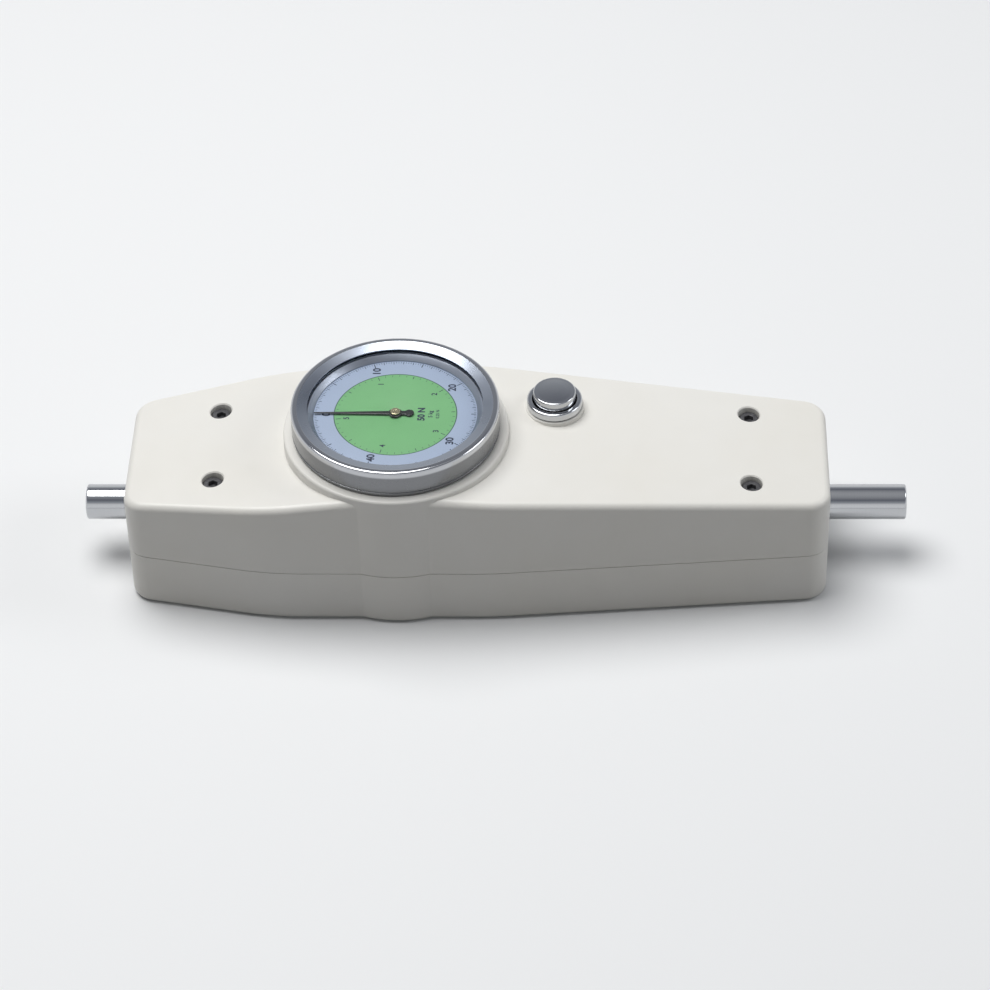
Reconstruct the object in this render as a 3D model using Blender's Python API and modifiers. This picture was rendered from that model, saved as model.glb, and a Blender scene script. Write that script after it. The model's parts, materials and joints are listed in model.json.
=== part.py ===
"""Push-pull force gauge with a round dial, built as separate solids.

The gauge lies on its back. X runs along the measuring rod, Z points out of the dial,
and the origin is under the middle of the rod, on the face that the back rests on.
All sizes are in metres.
"""

from math import acos, atan2, ceil, cos, pi, radians, sin, tan

import bmesh
import bpy
import numpy as np
from mathutils import Matrix, Vector

# Fits
SEAT_GAP = 0.0003
RUNNING_GAP = 0.00015
CUT_OVERRUN = 0.004
WELD_DISTANCE = 0.000005
SEAM_DISTANCE = 0.00001

# Measuring rod
ROD_LENGTH = 0.232
ROD_RADIUS = 0.005
ROD_STANDOUT_LEFT = 0.0135
ROD_STANDOUT_RIGHT = 0.0225
ROD_AXIS_HEIGHT = 0.0175
ROD_END_CHAMFER = 0.0006
ROD_THREAD_RADIUS = 0.0025
ROD_THREAD_DEPTH = 0.010
ROD_TRAVEL = 0.010
OVERLOAD_TRAVEL = 0.0005

# Case
CASE_END_HALF_WIDTH = 0.0222
CASE_MID_HALF_WIDTH = 0.0300
CASE_MID_REACH_LEFT = 0.035
CASE_MID_REACH_RIGHT = 0.027
CASE_END_HEIGHT = 0.036
CASE_RIDGE_HEIGHT = 0.0452
CASE_CORNER_RADIUS = 0.0065
CASE_EDGE_RADIUS = 0.0020
CASE_WALL = 0.003
DIAL_PLACE_SHARE = 75.5 / 196

# Round pad under the dial
PAD_RADIUS = 0.0315
PAD_RISE = 0.0003
PAD_EDGE_RADIUS = 0.0008
DIAL_OPENING_RADIUS = 0.0215

# Case screws and their posts
CASE_SCREW_LEFT_INSET = 0.0249
CASE_SCREW_RIGHT_INSET = 0.0218
CASE_SCREW_HALF_SPACING = 0.0145
CASE_SCREW_RADIUS = 0.0015
CASE_SCREW_HEAD_RADIUS = 0.00275
CASE_SCREW_HEAD_HEIGHT = 0.0028
CASE_SCREW_BITE = 0.009
COUNTERBORE_DEPTH = 0.0045
POST_WALL = 0.0013
SOCKET_RADIUS = 0.0014
SOCKET_DEPTH = 0.0013
CASE_SOCKET_SHARE = 1.0

# Threaded holes in the back, for a stand
STAND_HOLE_RADIUS = 0.0021
STAND_HOLE_DEPTH = 0.008
STAND_HOLE_WALL = 0.0019
STAND_HOLE_SPACING_X = 0.050
STAND_HOLE_SPACING_Y = 0.026
STAND_HOLES_FROM_DIAL = 0.007

# Rod bushes and wiper rings
BUSH_WALL = 0.0017
BUSH_PROUD = 0.0006
BUSH_COLLAR_WIDTH = 0.0016
BUSH_COLLAR_LENGTH = 0.003
LEFT_BUSH_REACH = 0.0119
RIGHT_BUSH_REACH = 0.0038
WIPER_WIDTH = 0.0014
WIPER_WALL = 0.0004

# Overload stop and guide bracket
STOP_COLLAR_WALL = 0.003
STOP_COLLAR_LENGTH = 0.0044
BRACKET_THICKNESS = 0.0038
BRACKET_FOOT_LENGTH = 0.008
BRACKET_FOOT_HEIGHT = 0.0027
BRACKET_HALF_WIDTH = 0.008
BRACKET_HEADROOM = 0.0026

# Load springs, their collar and abutments
SPRING_COIL_RADIUS = 0.0072
SPRING_WIRE_RADIUS = 0.00095
SPRING_TURNS = 6
SPRING_POINTS_PER_TURN = 8
SPRING_COLLAR_LENGTH = 0.005
SPRING_COLLAR_LIP = 0.00015
COLLAR_PIN_RADIUS = 0.0012
ABUTMENT_THICKNESS = 0.004
ABUTMENT_FOOT_LENGTH = 0.009
ABUTMENT_FOOT_HEIGHT = 0.003
ABUTMENT_HALF_WIDTH = 0.0094
ABUTMENT_TO_BUSH = 0.0007
ABUTMENT_TO_CARRIER = 0.0107

# Small screws in the case floor
FLOOR_SCREW_RADIUS = 0.0012
FLOOR_SCREW_HEAD_RADIUS = 0.0022
FLOOR_SCREW_HEAD_HEIGHT = 0.0014
FLOOR_SCREW_BITE = 0.002
FLOOR_SOCKET_SHARE = 0.6

# Movement plates and pillars
PLATE_THICKNESS = 0.0015
PLATE_HEADROOM = 0.0015
LOWER_PLATE_LEFT_REACH = 0.026
LOWER_PLATE_RIGHT_REACH = 0.036
LOWER_PLATE_HALF_WIDTH = 0.0225
LOWER_PLATE_CORNER_RADIUS = 0.003
BASE_PILLAR_RADIUS = 0.0024
BASE_PILLAR_INSET_X = 0.005
BASE_PILLAR_INSET_Y = 0.0028
SPIGOT_RADIUS = 0.0013
SPIGOT_RISE = 0.0005
UPPER_PILLAR_RADIUS = 0.0019
UPPER_PILLAR_INSET = 0.003
UPPER_PILLAR_ANGLES = (65, 180, 295)
UPPER_PLATE_HEIGHT = 0.0115
PLATE_SCREW_RADIUS = 0.0009
PLATE_SCREW_HEAD_RADIUS = 0.0018
PLATE_SCREW_HEAD_HEIGHT = 0.001
PLATE_SCREW_BITE = 0.004
PLATE_SOCKET_SHARE = 0.5
PILLAR_BORE_FLOOR = 0.0012

# Gear train
GEAR_MODULE = 0.0006
PINION_TEETH = 14
WHEEL_TEETH = 37
ADDENDUM_SHARE = 0.8
DEDENDUM_SHARE = 1.1
TOOTH_THINNING_SHARE = 0.35
PRESSURE_ANGLE = radians(20)
TRANSFER_OFFSET = 0.0016
RACK_LIFT = 0.0004
RACK_HEIGHT = 0.003
RACK_BACK = 0.0037
RACK_SCREW_RADIUS = 0.0007
RACK_SCREW_HEAD_RADIUS = 0.0012
RACK_SCREW_HEAD_HEIGHT = 0.0009
RACK_SCREW_SPACING = 0.0034
RACK_SOCKET_SHARE = 0.4
WHEEL_GAP = 0.0018
WHEEL_THICKNESS = 0.0012
CENTRE_PINION_OVERLAP = 0.0004
ARBOR_RADIUS = 0.001
ARBOR_TURN = radians(13)
PIVOT_RADIUS = 0.0006

# Rack carrier
CARRIER_WALL = 0.003
CARRIER_LENGTH = 0.008
CARRIER_ARM_LENGTH = 0.006
CARRIER_ARM_WIDTH = 0.0034

# Hairspring
HAIRSPRING_WIRE_RADIUS = 0.00016
HAIRSPRING_INNER_RADIUS = 0.0027
HAIRSPRING_OUTER_RADIUS = 0.0085
HAIRSPRING_TURNS = 4.5
HAIRSPRING_POINTS_PER_TURN = 12
HAIRSPRING_DROP = 0.0025
COLLET_RADIUS = 0.0021
COLLET_HEIGHT = 0.0014
STUD_RADIUS = 0.0008

# Dial ring, bezel, crystal and dial
BEZEL_RADIUS = 0.029
BEZEL_HEIGHT = 0.0082
BEZEL_BORE_RADIUS = 0.0255
BEZEL_LIP_RADIUS = 0.0238
BEZEL_CREST_RADIUS = 0.0274
BEZEL_EDGE_RADIUS = 0.0012
BEZEL_SKIRT_WALL = 0.0022
BEZEL_LIP_THICKNESS = 0.0002
DIAL_RING_WALL = 0.0012
DIAL_RING_HEIGHT = 0.0016
DIAL_RING_SPIGOT = 0.0022
CLIP_WIRE_RADIUS = 0.00025
CLIP_GROOVE_DEPTH = 0.00055
CLIP_GROOVE_HEIGHT = 0.0009
CLIP_OPENING = radians(24)
DIAL_SEAT_WIDTH = 0.0026
DIAL_SEAT_HEIGHT = 0.0018
DIAL_THICKNESS = 0.0005
GASKET_WIDTH = 0.0012
GASKET_HEIGHT = 0.001
CRYSTAL_THICKNESS = 0.0009

# Pointer
POINTER_LENGTH = 0.0226
POINTER_TAIL = 0.0052
POINTER_ROOT_HALF_WIDTH = 0.0005
POINTER_TIP_HALF_WIDTH = 0.00015
POINTER_TAIL_RADIUS = 0.0013
POINTER_BOSS_RADIUS = 0.0019
POINTER_BOSS_ANGLE = 0.3
POINTER_TAIL_ANGLE = 2.2
POINTER_THICKNESS = 0.0003
POINTER_LIFT = 0.0004
HUB_RADIUS = 0.0015
HUB_HEIGHT = 0.0004

# Peak button
BUTTON_FROM_DIAL = 0.044
BUTTON_OFFSET = 0.0125
BUTTON_RADIUS = 0.006
BUTTON_SKIRT = 0.0054
BUTTON_EDGE_RADIUS = 0.0008
BUTTON_TRAVEL = 0.002
BUTTON_STEM_RADIUS = 0.0022
STEM_TIP_CHAMFER = 0.0014
BUTTON_PAD_RISE = 0.0012
BUTTON_PAD_MARGIN = 0.0004
CUP_WALL = 0.0009
CUP_FLOOR = 0.0015
CUP_RISE = 0.0025
CUP_FLANGE_WIDTH = 0.0006
CUP_DEPTH = 0.008
NUT_RADIUS = 0.0100
NUT_HEIGHT = 0.0022
BUTTON_SPRING_COIL_RADIUS = 0.0040
BUTTON_SPRING_WIRE_RADIUS = 0.0003
BUTTON_SPRING_TURNS = 4

# Brake lever
LEVER_THICKNESS = 0.0015
LEVER_ARM = 0.012
LEVER_NOSE_ARM = 0.0075
LEVER_NOSE_OFFSET = 0.005
LEVER_HALF_WIDTH = 0.0016
LEVER_TAIL_RADIUS = 0.003
LEVER_BELOW_WHEEL = 0.0018
LEVER_HUB_RADIUS = 0.0014
LEVER_HUB_LENGTH = 0.006
LEVER_HUB_OFFSET = 0.008
LEVER_PIN_RADIUS = 0.0007
EAR_THICKNESS = 0.0014
EAR_LENGTH = 0.004
EAR_TOP = 0.0009

# Numbers of flat sides on round pieces
FINE_SIDES = 40
ROUND_SIDES = 24
ROD_SIDES = 20
SMALL_SIDES = 12
TINY_SIDES = 8
CORNER_STEPS = 4
EDGE_STEPS = 2
ARC_STEPS = 8
FAR_TURN_SHARE = 0.6

# Places along the rod
CASE_LEFT = ROD_STANDOUT_LEFT - ROD_LENGTH / 2
CASE_RIGHT = ROD_LENGTH / 2 - ROD_STANDOUT_RIGHT
CASE_LENGTH = CASE_RIGHT - CASE_LEFT
DIAL_X = CASE_LEFT + DIAL_PLACE_SHARE * CASE_LENGTH
SCREW_LEFT = CASE_LEFT + CASE_SCREW_LEFT_INSET
SCREW_RIGHT = CASE_RIGHT - CASE_SCREW_RIGHT_INSET
BUTTON_X = DIAL_X + BUTTON_FROM_DIAL

# Bush radii
BUSH_RADIUS = ROD_RADIUS + RUNNING_GAP + BUSH_WALL
BUSH_BORE = ROD_RADIUS + RUNNING_GAP
BUSH_COLLAR_RADIUS = BUSH_RADIUS + BUSH_COLLAR_WIDTH
LEFT_BUSH_END = CASE_LEFT + CASE_WALL + LEFT_BUSH_REACH
RIGHT_BUSH_END = CASE_RIGHT - CASE_WALL - RIGHT_BUSH_REACH

# Overload stop: the collar stops on the left bush and on the guide bracket
STOP_GAP = ROD_TRAVEL + OVERLOAD_TRAVEL
STOP_LEFT = LEFT_BUSH_END + STOP_GAP
STOP_RIGHT = STOP_LEFT + STOP_COLLAR_LENGTH
BRACKET_LEFT = STOP_RIGHT + STOP_GAP
BRACKET_RIGHT = BRACKET_LEFT + BRACKET_THICKNESS

# Heights of the movement, from the rod upwards
CARRIER_RADIUS = ROD_RADIUS + SEAT_GAP + CARRIER_WALL
LOWER_PLATE_BOTTOM = ROD_AXIS_HEIGHT + CARRIER_RADIUS + PLATE_HEADROOM
LOWER_PLATE_TOP = LOWER_PLATE_BOTTOM + PLATE_THICKNESS
RACK_BOTTOM = LOWER_PLATE_TOP + RACK_LIFT
RACK_TOP = RACK_BOTTOM + RACK_HEIGHT
WHEEL_BOTTOM = RACK_TOP + WHEEL_GAP
WHEEL_TOP = WHEEL_BOTTOM + WHEEL_THICKNESS
UPPER_PLATE_BOTTOM = LOWER_PLATE_TOP + UPPER_PLATE_HEIGHT
UPPER_PLATE_TOP = UPPER_PLATE_BOTTOM + PLATE_THICKNESS
UPPER_PLATE_RADIUS = DIAL_OPENING_RADIUS - DIAL_RING_WALL - SEAT_GAP - SEAT_GAP
UPPER_PILLAR_CIRCLE = UPPER_PLATE_RADIUS - UPPER_PILLAR_INSET
HAIRSPRING_HEIGHT = UPPER_PLATE_BOTTOM - HAIRSPRING_DROP

# Gear train: radii and centres
PINION_PITCH_RADIUS = GEAR_MODULE * PINION_TEETH / 2
WHEEL_PITCH_RADIUS = GEAR_MODULE * WHEEL_TEETH / 2
GEAR_CENTRES = PINION_PITCH_RADIUS + WHEEL_PITCH_RADIUS
TRANSFER_Y = TRANSFER_OFFSET
TRANSFER_X = DIAL_X + (GEAR_CENTRES ** 2 - TRANSFER_Y ** 2) ** 0.5
RACK_PITCH_Y = TRANSFER_Y - PINION_PITCH_RADIUS
TOOTH_PITCH = pi * GEAR_MODULE
ADDENDUM = ADDENDUM_SHARE * GEAR_MODULE
DEDENDUM = DEDENDUM_SHARE * GEAR_MODULE
TOOTH_THICKNESS = (pi / 2 - TOOTH_THINNING_SHARE) * GEAR_MODULE
RACK_TEETH = ceil((ROD_TRAVEL + PINION_PITCH_RADIUS / 2) / TOOTH_PITCH) * 2

# Load springs: they fill the room between the carrier's travel and the right-hand bush
SPRING_OUTER_RADIUS = SPRING_COIL_RADIUS + SPRING_WIRE_RADIUS
SPRING_COLLAR_RADIUS = SPRING_OUTER_RADIUS + SPRING_COLLAR_LIP
ABUTMENT_RIGHT_END = RIGHT_BUSH_END - ABUTMENT_TO_BUSH
ABUTMENT_RIGHT_FACE = ABUTMENT_RIGHT_END - ABUTMENT_THICKNESS
ABUTMENT_LEFT_END = TRANSFER_X + CARRIER_LENGTH / 2 + STOP_GAP + ABUTMENT_TO_CARRIER
ABUTMENT_LEFT_FACE = ABUTMENT_LEFT_END + ABUTMENT_THICKNESS
SPRING_ROOM = ABUTMENT_RIGHT_FACE - ABUTMENT_LEFT_FACE - SPRING_COLLAR_LENGTH
SPRING_LENGTH = SPRING_ROOM / 2 - SEAT_GAP - SEAT_GAP
SPRING_COLLAR_RIGHT = ABUTMENT_RIGHT_FACE - SPRING_LENGTH - SEAT_GAP - SEAT_GAP
SPRING_COLLAR_LEFT = SPRING_COLLAR_RIGHT - SPRING_COLLAR_LENGTH

# Heights of the dial, from the pad upwards
PAD_TOP = CASE_RIDGE_HEIGHT + PAD_RISE
DIAL_RING_BOTTOM = PAD_TOP + SEAT_GAP
DIAL_RING_TOP = DIAL_RING_BOTTOM + DIAL_RING_HEIGHT
BEZEL_STEP = DIAL_RING_TOP + SEAT_GAP
DIAL_SEAT_TOP = BEZEL_STEP + DIAL_SEAT_HEIGHT
DIAL_BOTTOM = DIAL_SEAT_TOP + SEAT_GAP
DIAL_TOP = DIAL_BOTTOM + DIAL_THICKNESS
GASKET_BOTTOM = DIAL_TOP + SEAT_GAP
GASKET_TOP = GASKET_BOTTOM + GASKET_HEIGHT
CRYSTAL_BOTTOM = GASKET_TOP + SEAT_GAP
CRYSTAL_TOP = CRYSTAL_BOTTOM + CRYSTAL_THICKNESS
BEZEL_LIP_BOTTOM = CRYSTAL_TOP + SEAT_GAP
BEZEL_TOP = DIAL_RING_BOTTOM + BEZEL_HEIGHT
POINTER_BOTTOM = DIAL_TOP + POINTER_LIFT
POINTER_TOP = POINTER_BOTTOM + POINTER_THICKNESS
BEZEL_SKIRT_RADIUS = BEZEL_RADIUS - BEZEL_SKIRT_WALL
DIAL_RING_RADIUS = BEZEL_SKIRT_RADIUS - RUNNING_GAP
CLIP_RADIUS = BEZEL_SKIRT_RADIUS - RUNNING_GAP / 2
INSERT_RADIUS = BEZEL_BORE_RADIUS - SEAT_GAP

MIRRORED = (-1, 1)


def roof_height(x):
    """Height of the case's top face at a place along the rod."""
    if x < DIAL_X:
        share = (DIAL_X - x) / (DIAL_X - CASE_LEFT)
    else:
        share = (x - DIAL_X) / (CASE_RIGHT - DIAL_X)
    return CASE_RIDGE_HEIGHT + (CASE_END_HEIGHT - CASE_RIDGE_HEIGHT) * share


# Heights of the button, the brake lever and the pillars' seats
CUP_RADIUS = BUTTON_RADIUS + SEAT_GAP + CUP_WALL
BUTTON_COLLAR_RADIUS = CUP_RADIUS + CUP_FLANGE_WIDTH
BUTTON_PAD_TOP = roof_height(BUTTON_X) + BUTTON_PAD_RISE
BUTTON_TOP = BUTTON_PAD_TOP + CUP_RISE + BUTTON_TRAVEL + BUTTON_EDGE_RADIUS
BUTTON_BOTTOM = BUTTON_TOP - BUTTON_SKIRT
CUP_BOTTOM = BUTTON_PAD_TOP - CUP_DEPTH
CUP_FLOOR_TOP = CUP_BOTTOM + CUP_FLOOR
LEVER_TOP = WHEEL_BOTTOM - LEVER_BELOW_WHEEL
LEVER_BOTTOM = LEVER_TOP - LEVER_THICKNESS
LEVER_AXIS_X = BUTTON_X - LEVER_ARM
LEVER_AXIS_HEIGHT = (LEVER_TOP + LEVER_BOTTOM) / 2
PILLAR_SEAT_HEIGHT = CASE_WALL + BASE_PILLAR_RADIUS
RACK_SCREW_TIP = LOWER_PLATE_BOTTOM - RACK_HEIGHT / 2


def collection(name):
    """A new collection in the scene."""
    group = bpy.data.collections.new(name)
    bpy.context.scene.collection.children.link(group)
    return group


for old_object in list(bpy.data.objects):
    bpy.data.objects.remove(old_object, do_unlink=True)

PARTS = collection("push_pull_force_gauge")
CUTTERS = collection("cutters")


def finish(name, colour, metallic, roughness, alpha=1.0):
    """A plain finish: a Principled shader with one colour."""
    paint = bpy.data.materials.new(name)
    paint.use_nodes = True
    shader = paint.node_tree.nodes["Principled BSDF"]
    shader.inputs["Base Color"].default_value = (*colour, 1)
    shader.inputs["Metallic"].default_value = metallic
    shader.inputs["Roughness"].default_value = roughness
    shader.inputs["Alpha"].default_value = alpha
    paint.diffuse_color = (*colour, alpha)
    return paint


def new_object(name, mesh, group=PARTS):
    """An object of this mesh in a collection."""
    thing = bpy.data.objects.new(name, mesh)
    group.objects.link(thing)
    return thing


def hide_as_cutter(thing):
    """Keep a shape only as a cutter or as one half of a union."""
    for group in list(thing.users_collection):
        group.objects.unlink(thing)
    CUTTERS.objects.link(thing)
    thing.hide_render = True
    thing.display_type = "WIRE"
    return thing


def dress(thing, paint, sharp=radians(30)):
    """Give a piece its finish and smooth its round faces."""
    thing.data.materials.clear()
    thing.data.materials.append(paint)
    thing.data.shade_smooth()
    thing.data.set_sharp_from_angle(angle=sharp)
    return thing


def turn_to(thing, axis):
    """Turn a shape made along Z to lie along X or Y."""
    if axis == "X":
        thing.rotation_euler = (0, pi / 2, 0)
    if axis == "Y":
        thing.rotation_euler = (-pi / 2, 0, 0)
    return thing


def box(name, low, high):
    """A box between two corners."""
    shape = bmesh.new()
    bmesh.ops.create_cube(shape, size=1)
    size = Vector(high) - Vector(low)
    bmesh.ops.scale(shape, vec=size, verts=shape.verts)
    mesh = bpy.data.meshes.new(name)
    shape.to_mesh(mesh)
    shape.free()
    thing = new_object(name, mesh)
    thing.location = (Vector(high) + Vector(low)) / 2
    return thing


def cylinder(name, radius, start, end, place, axis="Z", sides=SMALL_SIDES):
    """A cylinder from start to end along an axis; place holds the other two coordinates."""
    shape = bmesh.new()
    bmesh.ops.create_cone(
        shape, cap_ends=True, segments=sides, radius1=radius, radius2=radius, depth=end - start
    )
    mesh = bpy.data.meshes.new(name)
    shape.to_mesh(mesh)
    shape.free()
    thing = new_object(name, mesh)
    middle = (start + end) / 2
    if axis == "X":
        thing.location = (middle, place[0], place[1])
    elif axis == "Y":
        thing.location = (place[0], middle, place[1])
    else:
        thing.location = (place[0], place[1], middle)
    return turn_to(thing, axis)


def turned(name, profile, location, axis="Z", sides=ROUND_SIDES, ring=False):
    """A turned piece: a profile of (radius, height) points, outer side from top to bottom."""
    mesh = bpy.data.meshes.new(name)
    corners = [(radius, 0, height) for radius, height in profile]
    edges = [(i, i + 1) for i in range(len(profile) - 1)]
    if ring:
        edges.append((len(profile) - 1, 0))
    mesh.from_pydata(corners, edges, [])
    thing = new_object(name, mesh)
    screw = thing.modifiers.new("Turn", "SCREW")
    screw.axis = "Z"
    screw.angle = 2 * pi
    screw.steps = sides
    screw.render_steps = sides
    screw.use_merge_vertices = True
    screw.merge_threshold = SEAM_DISTANCE
    screw.use_smooth_shade = True
    thing.location = location
    return turn_to(thing, axis)


def applied(thing):
    """Replace an object by a mesh object of its evaluated shape, with its seams welded."""
    bpy.context.view_layer.update()
    graph = bpy.context.evaluated_depsgraph_get()
    mesh = bpy.data.meshes.new_from_object(thing.evaluated_get(graph))
    shape = bmesh.new()
    shape.from_mesh(mesh)
    bmesh.ops.remove_doubles(shape, verts=shape.verts, dist=WELD_DISTANCE)
    shape.to_mesh(mesh)
    shape.free()
    name = thing.name
    place = thing.matrix_world.copy()
    bpy.data.objects.remove(thing, do_unlink=True)
    solid = new_object(name, mesh)
    solid.matrix_world = place
    return solid


def extruded(name, outlines, start, end, axis="Z"):
    """Flat outlines, the first one outside and any others holes, made thick along an axis."""
    curve = bpy.data.curves.new(name, "CURVE")
    curve.dimensions = "2D"
    curve.fill_mode = "BOTH"
    curve.extrude = (end - start) / 2
    for outline in outlines:
        spline = curve.splines.new("POLY")
        spline.points.add(len(outline) - 1)
        for point, place in zip(spline.points, outline):
            point.co = (place[0], place[1], 0, 1)
        spline.use_cyclic_u = True
    thing = new_object(name, curve)
    middle = (start + end) / 2
    if axis == "Y":
        thing.rotation_euler = (pi / 2, 0, 0)
        thing.location = (0, middle, 0)
    elif axis == "X":
        thing.rotation_euler = (pi / 2, 0, pi / 2)
        thing.location = (middle, 0, 0)
    else:
        thing.location = (0, 0, middle)
    return applied(thing)


def wire(name, points, radius, resolution=1, closed=False):
    """A round wire along a list of points."""
    curve = bpy.data.curves.new(name, "CURVE")
    curve.dimensions = "3D"
    curve.bevel_depth = radius
    curve.bevel_resolution = resolution
    curve.use_fill_caps = True
    spline = curve.splines.new("POLY")
    spline.points.add(len(points) - 1)
    for point, place in zip(spline.points, points):
        point.co = (*place, 1)
    spline.use_cyclic_u = closed
    return applied(new_object(name, curve))


def combine(thing, other, operation):
    """Cut another shape away from a piece, join it on, or keep what they share."""
    step = thing.modifiers.new(operation.title(), "BOOLEAN")
    step.operation = operation
    step.solver = "EXACT"
    step.object = hide_as_cutter(other)
    return thing


def cut(thing, *others):
    """Cut shapes away from a piece."""
    for other in others:
        combine(thing, other, "DIFFERENCE")
    return thing


def join(thing, *others):
    """Join shapes onto a piece."""
    for other in others:
        combine(thing, other, "UNION")
    return thing


def round_edges(thing, width, segments=EDGE_STEPS, angle=radians(35)):
    """Round the sharp edges of a piece."""
    step = thing.modifiers.new("Round edges", "BEVEL")
    step.width = width
    step.segments = segments
    step.limit_method = "ANGLE"
    step.angle_limit = angle
    return thing


def circle(centre, radius, sides=SMALL_SIDES, start=0.0):
    """Points round a circle."""
    angles = [start + 2 * pi * i / sides for i in range(sides)]
    return [(centre[0] + radius * cos(a), centre[1] + radius * sin(a)) for a in angles]


def quarter_turn(steps):
    """Angles from straight up to level, in equal steps."""
    return [pi / 2 * i / steps for i in range(steps + 1)]


def rounded(corners, radius, steps=CORNER_STEPS):
    """A closed outline with each corner replaced by an arc that touches both its sides."""
    outline = []
    for i, corner in enumerate(corners):
        here = Vector(corner)
        before = (Vector(corners[i - 1]) - here).normalized()
        after = (Vector(corners[(i + 1) % len(corners)]) - here).normalized()
        half = before.angle(after) / 2
        size = radius[i] if isinstance(radius, (list, tuple)) else radius
        if size == 0:
            outline.append(tuple(here))
            continue
        centre = here + (before + after).normalized() * (size / sin(half))
        first = here + before * (size / tan(half)) - centre
        last = here + after * (size / tan(half)) - centre
        sweep = first.angle_signed(last)
        for j in range(steps + 1):
            spoke = Matrix.Rotation(-sweep * j / steps, 2) @ first
            outline.append(tuple(centre + spoke))
    return outline


def case_outline(inset):
    """Plan of the case: widest beside the dial, tapered straight to both ends."""
    end = CASE_END_HALF_WIDTH - inset
    middle = CASE_MID_HALF_WIDTH - inset
    left, right = CASE_LEFT + inset, CASE_RIGHT - inset
    corners = [
        (left, -end),
        (DIAL_X - CASE_MID_REACH_LEFT, -middle),
        (DIAL_X + CASE_MID_REACH_RIGHT, -middle),
        (right, -end),
        (right, end),
        (DIAL_X + CASE_MID_REACH_RIGHT, middle),
        (DIAL_X - CASE_MID_REACH_LEFT, middle),
        (left, end),
    ]
    corner = CASE_CORNER_RADIUS - inset
    return rounded(corners, [corner, 0, 0, corner, corner, 0, 0, corner])


def case_block(name, inset, floor):
    """The case as a solid block, or the hollow inside it, with its roof sloped to both ends."""
    top = CASE_RIDGE_HEIGHT + CUT_OVERRUN
    block = extruded(name, [case_outline(inset)], floor, top)
    half = CASE_MID_HALF_WIDTH + CUT_OVERRUN
    left, right = CASE_LEFT - CUT_OVERRUN, CASE_RIGHT + CUT_OVERRUN
    side = [
        (left, floor - CUT_OVERRUN),
        (right, floor - CUT_OVERRUN),
        (right, roof_height(right) - inset),
        (DIAL_X, CASE_RIDGE_HEIGHT - inset),
        (left, roof_height(left) - inset),
    ]
    combine(block, extruded(name + "_side", [side], -half, half, "Y"), "INTERSECT")
    return block


def pad_block(name):
    """The round pad that carries the dial, through the full height of the case."""
    edge = PAD_EDGE_RADIUS
    base = CASE_EDGE_RADIUS
    profile = [(0, PAD_TOP)]
    for a in quarter_turn(EDGE_STEPS):
        profile.append((PAD_RADIUS - edge + edge * sin(a), PAD_TOP - edge + edge * cos(a)))
    for a in reversed(quarter_turn(EDGE_STEPS)):
        profile.append((PAD_RADIUS - base + base * sin(a), base - base * cos(a)))
    profile.append((0, 0))
    return turned(name, profile, (DIAL_X, 0, 0), sides=FINE_SIDES)


def case_shell(name):
    """The whole outside of the case, before it is split and hollowed."""
    shell = case_block(name, 0, 0)
    round_edges(shell, CASE_EDGE_RADIUS)
    join(shell, pad_block(name + "_pad"))
    return shell


def screw_places():
    """The four case screws."""
    return [(x, y * CASE_SCREW_HALF_SPACING) for x in (SCREW_LEFT, SCREW_RIGHT) for y in MIRRORED]


def rod_bore(name, radius, start, end):
    """A cutter along the rod's axis."""
    return cylinder(name, radius, start, end, (0, ROD_AXIS_HEIGHT), "X", ROD_SIDES)


def end_bores(name):
    """The holes for the two bushes in the end walls."""
    radius = BUSH_RADIUS + RUNNING_GAP
    span = CASE_WALL + CUT_OVERRUN
    left = rod_bore(name + "_left", radius, CASE_LEFT - CUT_OVERRUN, CASE_LEFT + span)
    right = rod_bore(name + "_right", radius, CASE_RIGHT - span, CASE_RIGHT + CUT_OVERRUN)
    return left, right


def case_slab(name, low, high):
    """A slab as large as the case in plan, to cut it at a height."""
    half = PAD_RADIUS + CUT_OVERRUN
    left, right = CASE_LEFT - CUT_OVERRUN, CASE_RIGHT + CUT_OVERRUN
    return box(name, (left, -half, low), (right, half, high))


def front_shell(paint):
    """Front shell: pad, dial opening, button pad and four screw posts with counterbores."""
    shell = case_shell("front_shell")
    split = ROD_AXIS_HEIGHT + SEAT_GAP / 2
    hollow = case_block("front_hollow", CASE_WALL, 0)
    cut(shell, case_slab("front_split", -CUT_OVERRUN, split), hollow)
    hole = CASE_SCREW_RADIUS + SEAT_GAP
    sink = CASE_SCREW_HEAD_RADIUS + SEAT_GAP
    for x, y in screw_places():
        roof = roof_height(x)
        post = cylinder("front_post", sink + POST_WALL, split, roof - CASE_WALL / 2, (x, y))
        join(shell, post)
    pad = BUTTON_COLLAR_RADIUS + BUTTON_PAD_MARGIN
    spot = (BUTTON_X, BUTTON_OFFSET)
    join(shell, cylinder("button_pad", pad, BUTTON_PAD_TOP - CASE_WALL, BUTTON_PAD_TOP, spot,
                         sides=ROUND_SIDES))
    for x, y in screw_places():
        roof = roof_height(x)
        through = cylinder("front_hole", hole, split - CUT_OVERRUN, roof, (x, y))
        bore_floor = roof - COUNTERBORE_DEPTH
        counterbore = cylinder("counterbore", sink, bore_floor, roof + CUT_OVERRUN, (x, y))
        cut(shell, counterbore, through)
    opening = cylinder("dial_opening", DIAL_OPENING_RADIUS, ROD_AXIS_HEIGHT, BEZEL_TOP,
                       (DIAL_X, 0), sides=FINE_SIDES)
    opening.rotation_euler.z = pi / FINE_SIDES
    button = cylinder("button_hole", CUP_RADIUS + SEAT_GAP, ROD_AXIS_HEIGHT, BEZEL_TOP, spot,
                      sides=ROUND_SIDES)
    cut(shell, opening, button, *end_bores("front_bore"))
    return dress(shell, paint)


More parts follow.
